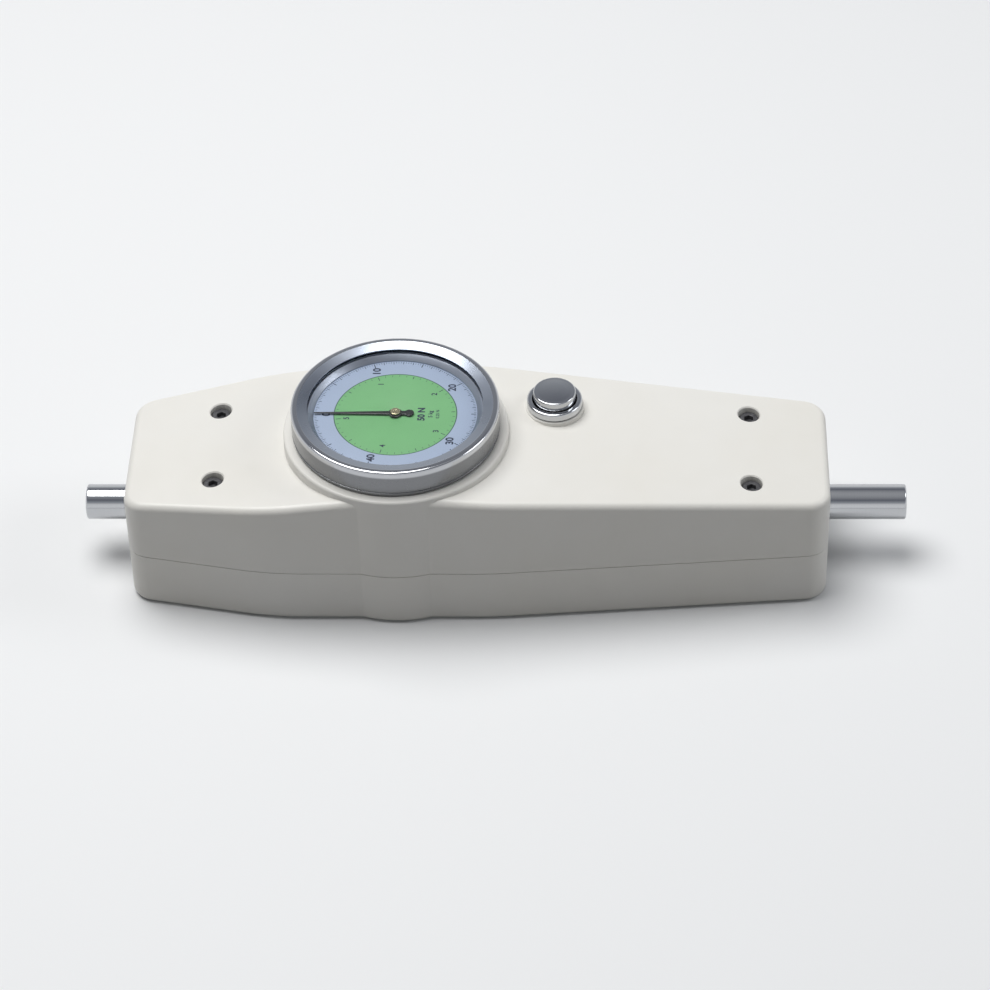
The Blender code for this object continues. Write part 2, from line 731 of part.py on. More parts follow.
def rear_shell(paint):
    """Rear shell: floor, four screw posts, pillar seats and threaded bosses for a stand."""
    shell = case_shell("rear_shell")
    split = ROD_AXIS_HEIGHT - SEAT_GAP / 2
    hollow = case_block("rear_hollow", CASE_WALL, CASE_WALL)
    cut(shell, case_slab("rear_split", split, BEZEL_TOP), hollow)
    post = CASE_SCREW_HEAD_RADIUS + SEAT_GAP + POST_WALL
    inside = CASE_WALL / 2
    for x, y in screw_places():
        join(shell, cylinder("rear_post", post, inside, split, (x, y)))
    boss = STAND_HOLE_RADIUS + STAND_HOLE_WALL
    top = STAND_HOLE_DEPTH + STAND_HOLE_WALL
    for x, y in stand_hole_places():
        join(shell, cylinder("stand_boss", boss, inside, top, (x, y)))
    for x, y in base_pillar_places():
        seat = BASE_PILLAR_RADIUS + BASE_PILLAR_RADIUS / 2
        join(shell, cylinder("pillar_seat", seat, inside, PILLAR_SEAT_HEIGHT, (x, y)))
    depth = split - CASE_SCREW_BITE - SEAT_GAP
    for x, y in screw_places():
        tapped = CASE_SCREW_RADIUS + RUNNING_GAP
        cut(shell, cylinder("rear_hole", tapped, depth, split + CUT_OVERRUN, (x, y)))
    for x, y in stand_hole_places():
        cut(shell, cylinder("stand_hole", STAND_HOLE_RADIUS, -CUT_OVERRUN, STAND_HOLE_DEPTH,
                            (x, y)))
    for x, y in floor_screw_places():
        floor = CASE_WALL - FLOOR_SCREW_BITE
        bore = FLOOR_SCREW_RADIUS + RUNNING_GAP
        cut(shell, cylinder("floor_hole", bore, floor, CASE_WALL + CUT_OVERRUN, (x, y),
                            sides=TINY_SIDES))
    cut(shell, *end_bores("rear_bore"))
    return dress(shell, paint)


def stand_hole_places():
    """Four threaded holes in the back, two each side of the rod."""
    middle = DIAL_X + STAND_HOLES_FROM_DIAL
    half_x, half_y = STAND_HOLE_SPACING_X / 2, STAND_HOLE_SPACING_Y / 2
    return [(middle + i * half_x, j * half_y) for i in MIRRORED for j in MIRRORED]


def base_pillar_places():
    """The four pillars that carry the lower movement plate."""
    left = DIAL_X - LOWER_PLATE_LEFT_REACH + BASE_PILLAR_INSET_X
    right = DIAL_X + LOWER_PLATE_RIGHT_REACH - BASE_PILLAR_INSET_X
    side = LOWER_PLATE_HALF_WIDTH - BASE_PILLAR_INSET_Y
    return [(x, y * side) for x in (left, right) for y in MIRRORED]


def floor_screw_places():
    """Screws that hold the guide bracket and the two spring abutments to the floor."""
    bracket = BRACKET_RIGHT + BRACKET_FOOT_LENGTH / 2
    left = ABUTMENT_LEFT_FACE + ABUTMENT_FOOT_LENGTH / 2
    right = ABUTMENT_RIGHT_FACE - ABUTMENT_FOOT_LENGTH / 2
    return [(bracket, 0), (left, 0), (right, 0)]


def screw(name, place, seat, tip, radius, head_radius, head_height, socket, paint):
    """A cap screw: head above its seat, plain shank down to the tip, six-sided socket."""
    head_bottom = seat + RUNNING_GAP
    head_top = head_bottom + head_height
    corner = head_height / 8
    profile = [
        (0, head_top),
        (head_radius - corner, head_top),
        (head_radius, head_top - corner),
        (head_radius, head_bottom),
        (radius, head_bottom),
        (radius, tip + radius / 2),
        (radius / 2, tip),
        (0, tip),
    ]
    piece = turned(name, profile, (*place, 0), sides=SMALL_SIDES)
    socket_floor = head_top - SOCKET_DEPTH * socket
    recess = cylinder(name + "_socket", SOCKET_RADIUS * socket, socket_floor,
                      head_top + CUT_OVERRUN, place, sides=6)
    return dress(cut(piece, recess), paint)


def case_screws(paint):
    """Four long screws, from the bottom of each counterbore into the rear shell."""
    for number, (x, y) in enumerate(screw_places(), 1):
        seat = roof_height(x) - COUNTERBORE_DEPTH
        tip = ROD_AXIS_HEIGHT - CASE_SCREW_BITE
        screw(f"case_screw_{number}", (x, y), seat, tip, CASE_SCREW_RADIUS,
              CASE_SCREW_HEAD_RADIUS, CASE_SCREW_HEAD_HEIGHT, CASE_SOCKET_SHARE, paint)


def floor_screws(paint):
    """Small screws that hold the brackets to the floor of the rear shell."""
    names = ("bracket_screw", "abutment_screw_left", "abutment_screw_right")
    for name, place in zip(names, floor_screw_places()):
        foot = BRACKET_FOOT_HEIGHT if name.startswith("bracket") else ABUTMENT_FOOT_HEIGHT
        seat = CASE_WALL + SEAT_GAP + foot
        tip = CASE_WALL - FLOOR_SCREW_BITE + RUNNING_GAP
        screw(name, place, seat, tip, FLOOR_SCREW_RADIUS, FLOOR_SCREW_HEAD_RADIUS,
              FLOOR_SCREW_HEAD_HEIGHT, FLOOR_SOCKET_SHARE, paint)


def bush(name, outer_face, inner_end, side, paint):
    """A rod bush: it stands a little out of the end wall and has a collar inside the wall."""
    face = BUSH_PROUD
    wall = -CASE_WALL - SEAT_GAP
    collar = wall - BUSH_COLLAR_LENGTH
    end = -abs(inner_end - outer_face)
    pocket = ROD_RADIUS + SEAT_GAP + WIPER_WALL + SEAT_GAP
    wiper_floor = face - WIPER_WIDTH - SEAT_GAP
    profile = [
        (BUSH_RADIUS - RUNNING_GAP, face),
        (BUSH_RADIUS, face - RUNNING_GAP),
        (BUSH_RADIUS, wall),
        (BUSH_COLLAR_RADIUS, wall),
        (BUSH_COLLAR_RADIUS, collar),
        (BUSH_RADIUS, collar),
        (BUSH_RADIUS, end),
        (BUSH_BORE, end),
        (BUSH_BORE, wiper_floor),
        (pocket, wiper_floor),
        (pocket, face),
    ]
    piece = turned(name, profile, (outer_face, 0, ROD_AXIS_HEIGHT), "X", ROD_SIDES, ring=True)
    if side < 0:
        piece.rotation_euler = (0, -pi / 2, 0)
    return dress(piece, paint)


def wiper(name, outer_face, side, paint):
    """A felt ring in the mouth of a bush."""
    inner = ROD_RADIUS + SEAT_GAP
    outer = inner + WIPER_WALL
    top = BUSH_PROUD - RUNNING_GAP
    bottom = top - WIPER_WIDTH
    profile = [(outer, top), (outer, bottom), (inner, bottom), (inner, top)]
    piece = turned(name, profile, (outer_face, 0, ROD_AXIS_HEIGHT), "X", ROD_SIDES, ring=True)
    if side < 0:
        piece.rotation_euler = (0, -pi / 2, 0)
    return dress(piece, paint)


def rod_bushes(metal, felt):
    """A bush and a wiper ring at each end of the case."""
    bush("rod_bush_left", CASE_LEFT, LEFT_BUSH_END, -1, metal)
    bush("rod_bush_right", CASE_RIGHT, RIGHT_BUSH_END, 1, metal)
    wiper("rod_wiper_left", CASE_LEFT, -1, felt)
    wiper("rod_wiper_right", CASE_RIGHT, 1, felt)


def measuring_rod(paint):
    """The rod: plain, with a threaded hole in each end and a cross hole for the collar pin."""
    half = ROD_LENGTH / 2
    side = [
        (0, half - ROD_THREAD_DEPTH),
        (ROD_THREAD_RADIUS, half - ROD_THREAD_DEPTH),
        (ROD_THREAD_RADIUS, half - ROD_END_CHAMFER),
        (ROD_THREAD_RADIUS + ROD_END_CHAMFER, half),
        (ROD_RADIUS - ROD_END_CHAMFER, half),
        (ROD_RADIUS, half - ROD_END_CHAMFER),
    ]
    profile = side + [(radius, -along) for radius, along in reversed(side)]
    rod = turned("measuring_rod", profile, (0, 0, ROD_AXIS_HEIGHT), "X", ROD_SIDES)
    return dress(cut(rod, pin_hole("rod_pin_hole")), paint)


def pin_hole(name):
    """Cutter for the cross pin of the spring collar."""
    middle = (SPRING_COLLAR_LEFT + SPRING_COLLAR_RIGHT) / 2
    reach = SPRING_COLLAR_RADIUS + CUT_OVERRUN
    radius = COLLAR_PIN_RADIUS + RUNNING_GAP
    return cylinder(name, radius, ROD_AXIS_HEIGHT - reach, ROD_AXIS_HEIGHT + reach, (middle, 0),
                    sides=TINY_SIDES)


def rod_ring(name, radius, start, end, paint, hole=None):
    """A plain ring on the rod, with softened edges."""
    bore = ROD_RADIUS + SEAT_GAP
    chamfer = SEAT_GAP
    half = (end - start) / 2
    profile = [
        (radius - chamfer, half),
        (radius, half - chamfer),
        (radius, chamfer - half),
        (radius - chamfer, -half),
        (bore, -half),
        (bore, half),
    ]
    place = ((start + end) / 2, 0, ROD_AXIS_HEIGHT)
    ring = turned(name, profile, place, "X", ROD_SIDES, ring=True)
    if hole:
        cut(ring, hole)
    return dress(ring, paint)


def collar_pin(paint):
    """The cross pin that fixes the spring collar to the rod."""
    middle = (SPRING_COLLAR_LEFT + SPRING_COLLAR_RIGHT) / 2
    reach = SPRING_COLLAR_RADIUS - SEAT_GAP
    pin = cylinder("collar_pin", COLLAR_PIN_RADIUS, ROD_AXIS_HEIGHT - reach,
                   ROD_AXIS_HEIGHT + reach, (middle, 0), sides=TINY_SIDES)
    return dress(pin, paint)


def coil_points(start, length, radius, turns, per_turn):
    """Points of a helix along X from start."""
    count = int(turns * per_turn)
    steps = np.arange(count + 1) / count
    angles = steps * turns * 2 * pi
    return [
        (start + length * s, radius * cos(a), radius * sin(a)) for s, a in zip(steps, angles)
    ]


def least_gap(points, per_turn, wire_radius):
    """The least gap of a wound wire to itself, between points more than half a turn apart."""
    places = np.array(points)
    apart = np.linalg.norm(places[:, None, :] - places[None, :, :], axis=2)
    order = np.arange(len(places))
    far = np.abs(order[:, None] - order[None, :]) > per_turn * FAR_TURN_SHARE
    return apart[far].min() - 2 * wire_radius


def load_spring(name, start, paint):
    """One of the two opposed load springs round the rod."""
    begin = start + SEAT_GAP + SPRING_WIRE_RADIUS
    length = SPRING_LENGTH - 2 * SPRING_WIRE_RADIUS
    points = coil_points(begin, length, SPRING_COIL_RADIUS, SPRING_TURNS, SPRING_POINTS_PER_TURN)
    gap = least_gap(points, SPRING_POINTS_PER_TURN, SPRING_WIRE_RADIUS)
    print(f"{name}: least gap to itself {gap * 1000:.2f} mm")
    spring = wire(name, points, SPRING_WIRE_RADIUS)
    spring.location.z = ROD_AXIS_HEIGHT
    return dress(spring, paint)


def foot_bracket(name, wall_start, wall_end, foot_end, foot_height, top, half_width, place,
                 paint):
    """An L-shaped bracket on the floor: a wall with a bore for the rod, and a screwed foot."""
    floor = CASE_WALL + SEAT_GAP
    toe = floor + foot_height
    if foot_end > wall_end:
        side = [(wall_start, floor), (foot_end, floor), (foot_end, toe), (wall_end, toe),
                (wall_end, top), (wall_start, top)]
    else:
        side = [(foot_end, floor), (wall_end, floor), (wall_end, top), (wall_start, top),
                (wall_start, toe), (foot_end, toe)]
    piece = extruded(name, [side], -half_width, half_width, "Y")
    round_edges(piece, foot_height / 8, segments=1)
    cut(piece, rod_bore(name + "_bore", ROD_RADIUS + SEAT_GAP, wall_start - CUT_OVERRUN,
                        wall_end + CUT_OVERRUN))
    hole = FLOOR_SCREW_RADIUS + RUNNING_GAP
    cut(piece, cylinder(name + "_hole", hole, 0, toe + CUT_OVERRUN, place, sides=TINY_SIDES))
    return dress(piece, paint)


def brackets(paint):
    """The guide bracket and the two spring abutments."""
    places = floor_screw_places()
    top = ROD_AXIS_HEIGHT + ROD_RADIUS + BRACKET_HEADROOM
    foot_bracket("guide_bracket", BRACKET_LEFT, BRACKET_RIGHT, BRACKET_RIGHT + BRACKET_FOOT_LENGTH,
                 BRACKET_FOOT_HEIGHT, top, BRACKET_HALF_WIDTH, places[0], paint)
    top = ROD_AXIS_HEIGHT + SPRING_COLLAR_RADIUS
    foot_bracket("abutment_left", ABUTMENT_LEFT_END, ABUTMENT_LEFT_FACE,
                 ABUTMENT_LEFT_FACE + ABUTMENT_FOOT_LENGTH, ABUTMENT_FOOT_HEIGHT, top,
                 ABUTMENT_HALF_WIDTH, places[1], paint)
    foot_bracket("abutment_right", ABUTMENT_RIGHT_FACE, ABUTMENT_RIGHT_END,
                 ABUTMENT_RIGHT_FACE - ABUTMENT_FOOT_LENGTH, ABUTMENT_FOOT_HEIGHT, top,
                 ABUTMENT_HALF_WIDTH, places[2], paint)


def tooth_outline(teeth, phase):
    """Outline of a spur gear: involute flanks down to the base circle, thinned for backlash."""
    pitch = GEAR_MODULE * teeth / 2
    base = pitch * cos(PRESSURE_ANGLE)
    tip = pitch + ADDENDUM
    root = pitch - DEDENDUM

    def half_angle(radius):
        slope = acos(min(1.0, base / radius))
        level = tan(PRESSURE_ANGLE) - PRESSURE_ANGLE
        return TOOTH_THICKNESS / (2 * pitch) + level - (tan(slope) - slope)

    low = max(base, root)
    radii = [low, tip] if root >= base else [root, low, tip]
    outline = []
    for number in range(teeth):
        middle = phase + 2 * pi * number / teeth
        sides = [(radius, half_angle(max(radius, low))) for radius in radii]
        for radius, half in sides:
            outline.append((radius * cos(middle - half), radius * sin(middle - half)))
        for radius, half in reversed(sides):
            outline.append((radius * cos(middle + half), radius * sin(middle + half)))
    return outline


def moved(outline, centre):
    """An outline shifted to a centre."""
    return [(x + centre[0], y + centre[1]) for x, y in outline]


def rack(paint):
    """The rack: straight teeth towards the transfer pinion, a space opposite its centre."""
    half_run = RACK_TEETH * TOOTH_PITCH / 2
    tip, root = RACK_PITCH_Y + ADDENDUM, RACK_PITCH_Y - DEDENDUM
    slope = tan(PRESSURE_ANGLE)
    half_tip = TOOTH_THICKNESS / 2 - ADDENDUM * slope
    half_root = TOOTH_THICKNESS / 2 + DEDENDUM * slope
    back = RACK_PITCH_Y - DEDENDUM - RACK_BACK
    left, right = TRANSFER_X - half_run, TRANSFER_X + half_run
    outline = [(left, back), (right, back), (right, root)]
    for number in range(RACK_TEETH):
        middle = right - TOOTH_PITCH * (number + 0.5)
        outline += [(middle + half_root, root), (middle + half_tip, tip)]
        outline += [(middle - half_tip, tip), (middle - half_root, root)]
    outline.append((left, root))
    piece = extruded("rack", [outline], RACK_BOTTOM, RACK_TOP)
    for place in rack_screw_places():
        hole = RACK_SCREW_RADIUS + RUNNING_GAP
        cut(piece, cylinder("rack_hole", hole, RACK_BOTTOM - CUT_OVERRUN, RACK_TOP + CUT_OVERRUN,
                            place, sides=TINY_SIDES))
    return dress(piece, paint)


def rack_middle_y():
    """The middle of the rack's back, over the carrier's arm."""
    return RACK_PITCH_Y - DEDENDUM - RACK_BACK / 2


def rack_screw_places():
    """Two screws through the rack into its carrier."""
    half = RACK_SCREW_SPACING / 2
    return [(TRANSFER_X - half, rack_middle_y()), (TRANSFER_X + half, rack_middle_y())]


def rack_carrier(paint):
    """A ring on the rod with an arm up through the lower plate to the rack."""
    start, end = TRANSFER_X - CARRIER_LENGTH / 2, TRANSFER_X + CARRIER_LENGTH / 2
    ring = cylinder("rack_carrier", CARRIER_RADIUS, start, end, (0, ROD_AXIS_HEIGHT), "X",
                    ROD_SIDES)
    half_length, half_width = CARRIER_ARM_LENGTH / 2, CARRIER_ARM_WIDTH / 2
    middle = rack_middle_y()
    top = RACK_BOTTOM - SEAT_GAP
    arm = box("carrier_arm", (TRANSFER_X - half_length, middle - half_width, ROD_AXIS_HEIGHT),
              (TRANSFER_X + half_length, middle + half_width, top))
    join(ring, arm)
    cut(ring, rod_bore("carrier_bore", ROD_RADIUS + SEAT_GAP, start - CUT_OVERRUN,
                       end + CUT_OVERRUN))
    for place in rack_screw_places():
        hole = RACK_SCREW_RADIUS + RUNNING_GAP
        cut(ring, cylinder("carrier_hole", hole, RACK_SCREW_TIP - RUNNING_GAP, top + CUT_OVERRUN,
                           place, sides=TINY_SIDES))
    return dress(ring, paint)


def rack_screws(paint):
    """The two screws that hold the rack."""
    for number, place in enumerate(rack_screw_places(), 1):
        screw(f"rack_screw_{number}", place, RACK_TOP, RACK_SCREW_TIP, RACK_SCREW_RADIUS,
              RACK_SCREW_HEAD_RADIUS, RACK_SCREW_HEAD_HEIGHT, RACK_SOCKET_SHARE, paint)


def transfer_gear(steel, brass):
    """The transfer arbor, whose pinion runs on the rack, and the wheel that it carries."""
    place = (TRANSFER_X, TRANSFER_Y)
    pinion_top = RACK_TOP + SEAT_GAP
    teeth = moved(tooth_outline(PINION_TEETH, -pi / 2), place)
    hole = circle(place, PIVOT_RADIUS, TINY_SIDES)
    pinion = extruded("transfer_pinion", [teeth, hole], RACK_BOTTOM, pinion_top)
    low_pivot = LOWER_PLATE_BOTTOM
    high_pivot = UPPER_PLATE_TOP
    shaft_low = LOWER_PLATE_TOP + RUNNING_GAP
    shaft_high = UPPER_PLATE_BOTTOM - SEAT_GAP
    shaft = arbor("transfer_shaft", place, (low_pivot, shaft_low, shaft_high, high_pivot))
    join(pinion, shaft)
    toward_dial = atan2(-TRANSFER_Y, DIAL_X - TRANSFER_X)
    teeth = moved(tooth_outline(WHEEL_TEETH, toward_dial), place)
    hole = circle(place, ARBOR_RADIUS + RUNNING_GAP, TINY_SIDES)
    wheel = extruded("transfer_wheel", [teeth, hole], WHEEL_BOTTOM, WHEEL_TOP)
    return dress(pinion, steel), dress(wheel, brass)


def arbor(name, place, heights, top_radius=PIVOT_RADIUS):
    """A stepped shaft: thin pivots at both ends, a thicker body between."""
    low_pivot, low, high, high_pivot = heights
    profile = [
        (0, high_pivot),
        (top_radius, high_pivot),
        (top_radius, high),
        (ARBOR_RADIUS, high),
        (ARBOR_RADIUS, low),
        (PIVOT_RADIUS, low),
        (PIVOT_RADIUS, low_pivot),
        (0, low_pivot),
    ]
    shaft = turned(name, profile, (*place, 0), sides=TINY_SIDES)
    shaft.rotation_euler.z = ARBOR_TURN
    return shaft


def centre_arbor(steel):
    """The arbor under the pointer, with its pinion and the collet of the hairspring."""
    place = (DIAL_X, 0)
    facing = atan2(TRANSFER_Y, TRANSFER_X - DIAL_X)
    phase = facing + pi / PINION_TEETH
    bottom = WHEEL_BOTTOM - CENTRE_PINION_OVERLAP
    top = WHEEL_TOP + CENTRE_PINION_OVERLAP
    teeth = moved(tooth_outline(PINION_TEETH, phase), place)
    hole = circle(place, PIVOT_RADIUS, TINY_SIDES)
    pinion = extruded("centre_pinion", [teeth, hole], bottom, top)
    low = LOWER_PLATE_TOP + RUNNING_GAP
    high = POINTER_BOTTOM - RUNNING_GAP
    heights = (LOWER_PLATE_BOTTOM, low, high, POINTER_TOP + HUB_HEIGHT / 2)
    join(pinion, arbor("centre_shaft", place, heights))
    half = COLLET_HEIGHT / 2
    join(pinion, cylinder("collet", COLLET_RADIUS, HAIRSPRING_HEIGHT - half,
                          HAIRSPRING_HEIGHT + half, place))
    return dress(pinion, steel)


def hairspring(spring_steel, brass):
    """A flat spiral from the collet out to its stud."""
    count = int(HAIRSPRING_TURNS * HAIRSPRING_POINTS_PER_TURN)
    points = []
    for i in range(count + 1):
        share = i / count
        angle = share * HAIRSPRING_TURNS * 2 * pi
        radius = HAIRSPRING_INNER_RADIUS
        radius += (HAIRSPRING_OUTER_RADIUS - HAIRSPRING_INNER_RADIUS) * share
        points.append((radius * cos(angle), radius * sin(angle), 0))
    gap = least_gap(points, HAIRSPRING_POINTS_PER_TURN, HAIRSPRING_WIRE_RADIUS)
    print(f"hairspring: least gap to itself {gap * 1000:.2f} mm")
    spiral = wire("hairspring", points, HAIRSPRING_WIRE_RADIUS, resolution=0)
    spiral.location = (DIAL_X, 0, HAIRSPRING_HEIGHT)
    reach = HAIRSPRING_OUTER_RADIUS + HAIRSPRING_WIRE_RADIUS + SEAT_GAP + STUD_RADIUS
    end_angle = HAIRSPRING_TURNS * 2 * pi
    place = (DIAL_X + reach * cos(end_angle), reach * sin(end_angle))
    stud = cylinder("hairspring_stud", STUD_RADIUS, HAIRSPRING_HEIGHT - COLLET_HEIGHT,
                    UPPER_PLATE_BOTTOM - RUNNING_GAP, place, sides=TINY_SIDES)
    return dress(spiral, spring_steel), dress(stud, brass)


def upper_pillar_places():
    """The three pillars between the movement plates."""
    angles = [radians(a) for a in UPPER_PILLAR_ANGLES]
    reach = UPPER_PILLAR_CIRCLE
    return [(DIAL_X + reach * cos(a), reach * sin(a)) for a in angles]


def lower_plate(paint):
    """The lower movement plate, with a slot for the carrier's arm."""
    left, right = DIAL_X - LOWER_PLATE_LEFT_REACH, DIAL_X + LOWER_PLATE_RIGHT_REACH
    half = LOWER_PLATE_HALF_WIDTH
    corners = [(left, -half), (right, -half), (right, half), (left, half)]
    outlines = [rounded(corners, LOWER_PLATE_CORNER_RADIUS, 3)]
    reach = CARRIER_ARM_LENGTH / 2 + ROD_TRAVEL + OVERLOAD_TRAVEL + SEAT_GAP
    slot = CARRIER_ARM_WIDTH / 2 + SEAT_GAP
    middle = rack_middle_y()
    outlines.append([(TRANSFER_X - reach, middle - slot), (TRANSFER_X + reach, middle - slot),
                     (TRANSFER_X + reach, middle + slot), (TRANSFER_X - reach, middle + slot)])
    spigot = SPIGOT_RADIUS + RUNNING_GAP
    for place in base_pillar_places() + upper_pillar_places():
        outlines.append(circle(place, spigot, TINY_SIDES))
    for place in ((DIAL_X, 0), (TRANSFER_X, TRANSFER_Y)):
        outlines.append(circle(place, PIVOT_RADIUS + RUNNING_GAP, TINY_SIDES))
    plate = extruded("movement_plate_lower", outlines, LOWER_PLATE_BOTTOM, LOWER_PLATE_TOP)
    return dress(plate, paint)


def upper_plate(paint):
    """The round upper movement plate."""
    outlines = [circle((DIAL_X, 0), UPPER_PLATE_RADIUS, ROUND_SIDES)]
    for place in upper_pillar_places():
        outlines.append(circle(place, PLATE_SCREW_RADIUS + RUNNING_GAP, TINY_SIDES))
    outlines.append(circle((DIAL_X, 0), ARBOR_RADIUS + RUNNING_GAP, TINY_SIDES))
    outlines.append(circle((TRANSFER_X, TRANSFER_Y), PIVOT_RADIUS + RUNNING_GAP, TINY_SIDES))
    plate = extruded("movement_plate_upper", outlines, UPPER_PLATE_BOTTOM, UPPER_PLATE_TOP)
    return dress(plate, paint)


def pillars(paint):
    """Four base pillars on the case floor and three upper pillars between the plates."""
    rise = LOWER_PLATE_TOP + SPIGOT_RISE
    for number, (x, y) in enumerate(base_pillar_places(), 1):
        shoulder = LOWER_PLATE_BOTTOM - SEAT_GAP
        foot = PILLAR_SEAT_HEIGHT + SEAT_GAP
        profile = [(0, rise), (SPIGOT_RADIUS, rise), (SPIGOT_RADIUS, shoulder),
                   (BASE_PILLAR_RADIUS, shoulder), (BASE_PILLAR_RADIUS, foot), (0, foot)]
        dress(turned(f"base_pillar_{number}", profile, (x, y, 0), sides=SMALL_SIDES), paint)
    for number, (x, y) in enumerate(upper_pillar_places(), 1):
        top = UPPER_PLATE_BOTTOM - SEAT_GAP
        shoulder = LOWER_PLATE_TOP + SEAT_GAP
        foot = LOWER_PLATE_BOTTOM
        bore = PLATE_SCREW_RADIUS + RUNNING_GAP
        depth = UPPER_PLATE_TOP - PLATE_SCREW_BITE - PILLAR_BORE_FLOOR
        profile = [(0, depth), (bore, depth), (bore, top), (UPPER_PILLAR_RADIUS, top),
                   (UPPER_PILLAR_RADIUS, shoulder), (SPIGOT_RADIUS, shoulder),
                   (SPIGOT_RADIUS, foot), (0, foot)]
        dress(turned(f"upper_pillar_{number}", profile, (x, y, 0), sides=SMALL_SIDES), paint)


def plate_screws(paint):
    """Three screws through the upper plate into its pillars."""
    for number, place in enumerate(upper_pillar_places(), 1):
        screw(f"plate_screw_{number}", place, UPPER_PLATE_TOP, UPPER_PLATE_TOP - PLATE_SCREW_BITE,
              PLATE_SCREW_RADIUS, PLATE_SCREW_HEAD_RADIUS, PLATE_SCREW_HEAD_HEIGHT,
              PLATE_SOCKET_SHARE, paint)


def dial_ring(paint):
    """The fixed ring that the bezel turns on, pressed into the opening of the front shell."""
    inner = DIAL_OPENING_RADIUS - RUNNING_GAP - DIAL_RING_WALL
    spigot = DIAL_OPENING_RADIUS - RUNNING_GAP
    bottom = DIAL_RING_BOTTOM - SEAT_GAP - DIAL_RING_SPIGOT
    middle = (DIAL_RING_BOTTOM + DIAL_RING_TOP) / 2
    groove = DIAL_RING_RADIUS - CLIP_GROOVE_DEPTH
    high, low = middle + CLIP_GROOVE_HEIGHT / 2, middle - CLIP_GROOVE_HEIGHT / 2
    profile = [
        (DIAL_RING_RADIUS, DIAL_RING_TOP), (DIAL_RING_RADIUS, high), (groove, high),
        (groove, low), (DIAL_RING_RADIUS, low), (DIAL_RING_RADIUS, DIAL_RING_BOTTOM),
        (spigot, DIAL_RING_BOTTOM), (spigot, bottom), (inner, bottom), (inner, DIAL_RING_TOP),
    ]
    ring = turned("dial_ring", profile, (DIAL_X, 0, 0), sides=FINE_SIDES, ring=True)
    return dress(ring, paint)


def bezel(paint):
    """The turning bezel: skirt with the clip's groove, bore for the insert, sloped inner lip."""
    middle = (DIAL_RING_BOTTOM + DIAL_RING_TOP) / 2
    groove = BEZEL_SKIRT_RADIUS + CLIP_GROOVE_DEPTH
    high, low = middle + CLIP_GROOVE_HEIGHT / 2, middle - CLIP_GROOVE_HEIGHT / 2
    profile = []
    outer, top = BEZEL_RADIUS - BEZEL_EDGE_RADIUS, BEZEL_TOP - BEZEL_EDGE_RADIUS
    for a in quarter_turn(EDGE_STEPS):
        profile.append((outer + BEZEL_EDGE_RADIUS * sin(a), top + BEZEL_EDGE_RADIUS * cos(a)))
    chamfer = SEAT_GAP
    profile += [
        (BEZEL_RADIUS, DIAL_RING_BOTTOM + chamfer), (BEZEL_RADIUS - chamfer, DIAL_RING_BOTTOM),
        (BEZEL_SKIRT_RADIUS, DIAL_RING_BOTTOM), (BEZEL_SKIRT_RADIUS, low), (groove, low),
        (groove, high), (BEZEL_SKIRT_RADIUS, high), (BEZEL_SKIRT_RADIUS, BEZEL_STEP),
        (BEZEL_BORE_RADIUS, BEZEL_STEP), (BEZEL_BORE_RADIUS, BEZEL_LIP_BOTTOM),
        (BEZEL_LIP_RADIUS, BEZEL_LIP_BOTTOM),
        (BEZEL_LIP_RADIUS, BEZEL_LIP_BOTTOM + BEZEL_LIP_THICKNESS),
        (BEZEL_CREST_RADIUS, BEZEL_TOP),
    ]
    ring = turned("bezel", profile, (DIAL_X, 0, 0), sides=FINE_SIDES, ring=True)
    return dress(ring, paint)


def bezel_clip(paint):
    """The open wire ring that sits in both grooves and holds the bezel down."""
    count = ROUND_SIDES
    sweep = 2 * pi - CLIP_OPENING
    angles = [CLIP_OPENING / 2 + sweep * i / count for i in range(count + 1)]
    points = [(CLIP_RADIUS * cos(a), CLIP_RADIUS * sin(a), 0) for a in angles]
    clip = wire("bezel_clip", points, CLIP_WIRE_RADIUS, resolution=0)
    clip.location = (DIAL_X, 0, (DIAL_RING_BOTTOM + DIAL_RING_TOP) / 2)
    return dress(clip, paint)


def flat_ring(name, inner, outer, low, high, paint, sides=FINE_SIDES):
    """A flat ring, or a disc where the inner radius is zero, in the bezel."""
    if inner > 0:
        profile = [(outer, high), (outer, low), (inner, low), (inner, high)]
        piece = turned(name, profile, (DIAL_X, 0, 0), sides=sides, ring=True)
    else:
        profile = [(0, high), (outer, high), (outer, low), (0, low)]
        piece = turned(name, profile, (DIAL_X, 0, 0), sides=sides)
    return dress(piece, paint)


def bezel_inserts(metal, face, rubber, glass):
    """What the bezel carries: the seat ring, the dial plate, the gasket and the crystal."""
    seat = INSERT_RADIUS - DIAL_SEAT_WIDTH
    flat_ring("dial_seat_ring", seat, INSERT_RADIUS, BEZEL_STEP, DIAL_SEAT_TOP, metal)
    hole = ARBOR_RADIUS + SEAT_GAP
    flat_ring("dial_plate", hole, INSERT_RADIUS, DIAL_BOTTOM, DIAL_TOP, face)
    inner = INSERT_RADIUS - GASKET_WIDTH
    flat_ring("crystal_gasket", inner, INSERT_RADIUS, GASKET_BOTTOM, GASKET_TOP, rubber)
    flat_ring("crystal", 0, INSERT_RADIUS, CRYSTAL_BOTTOM, CRYSTAL_TOP, glass)


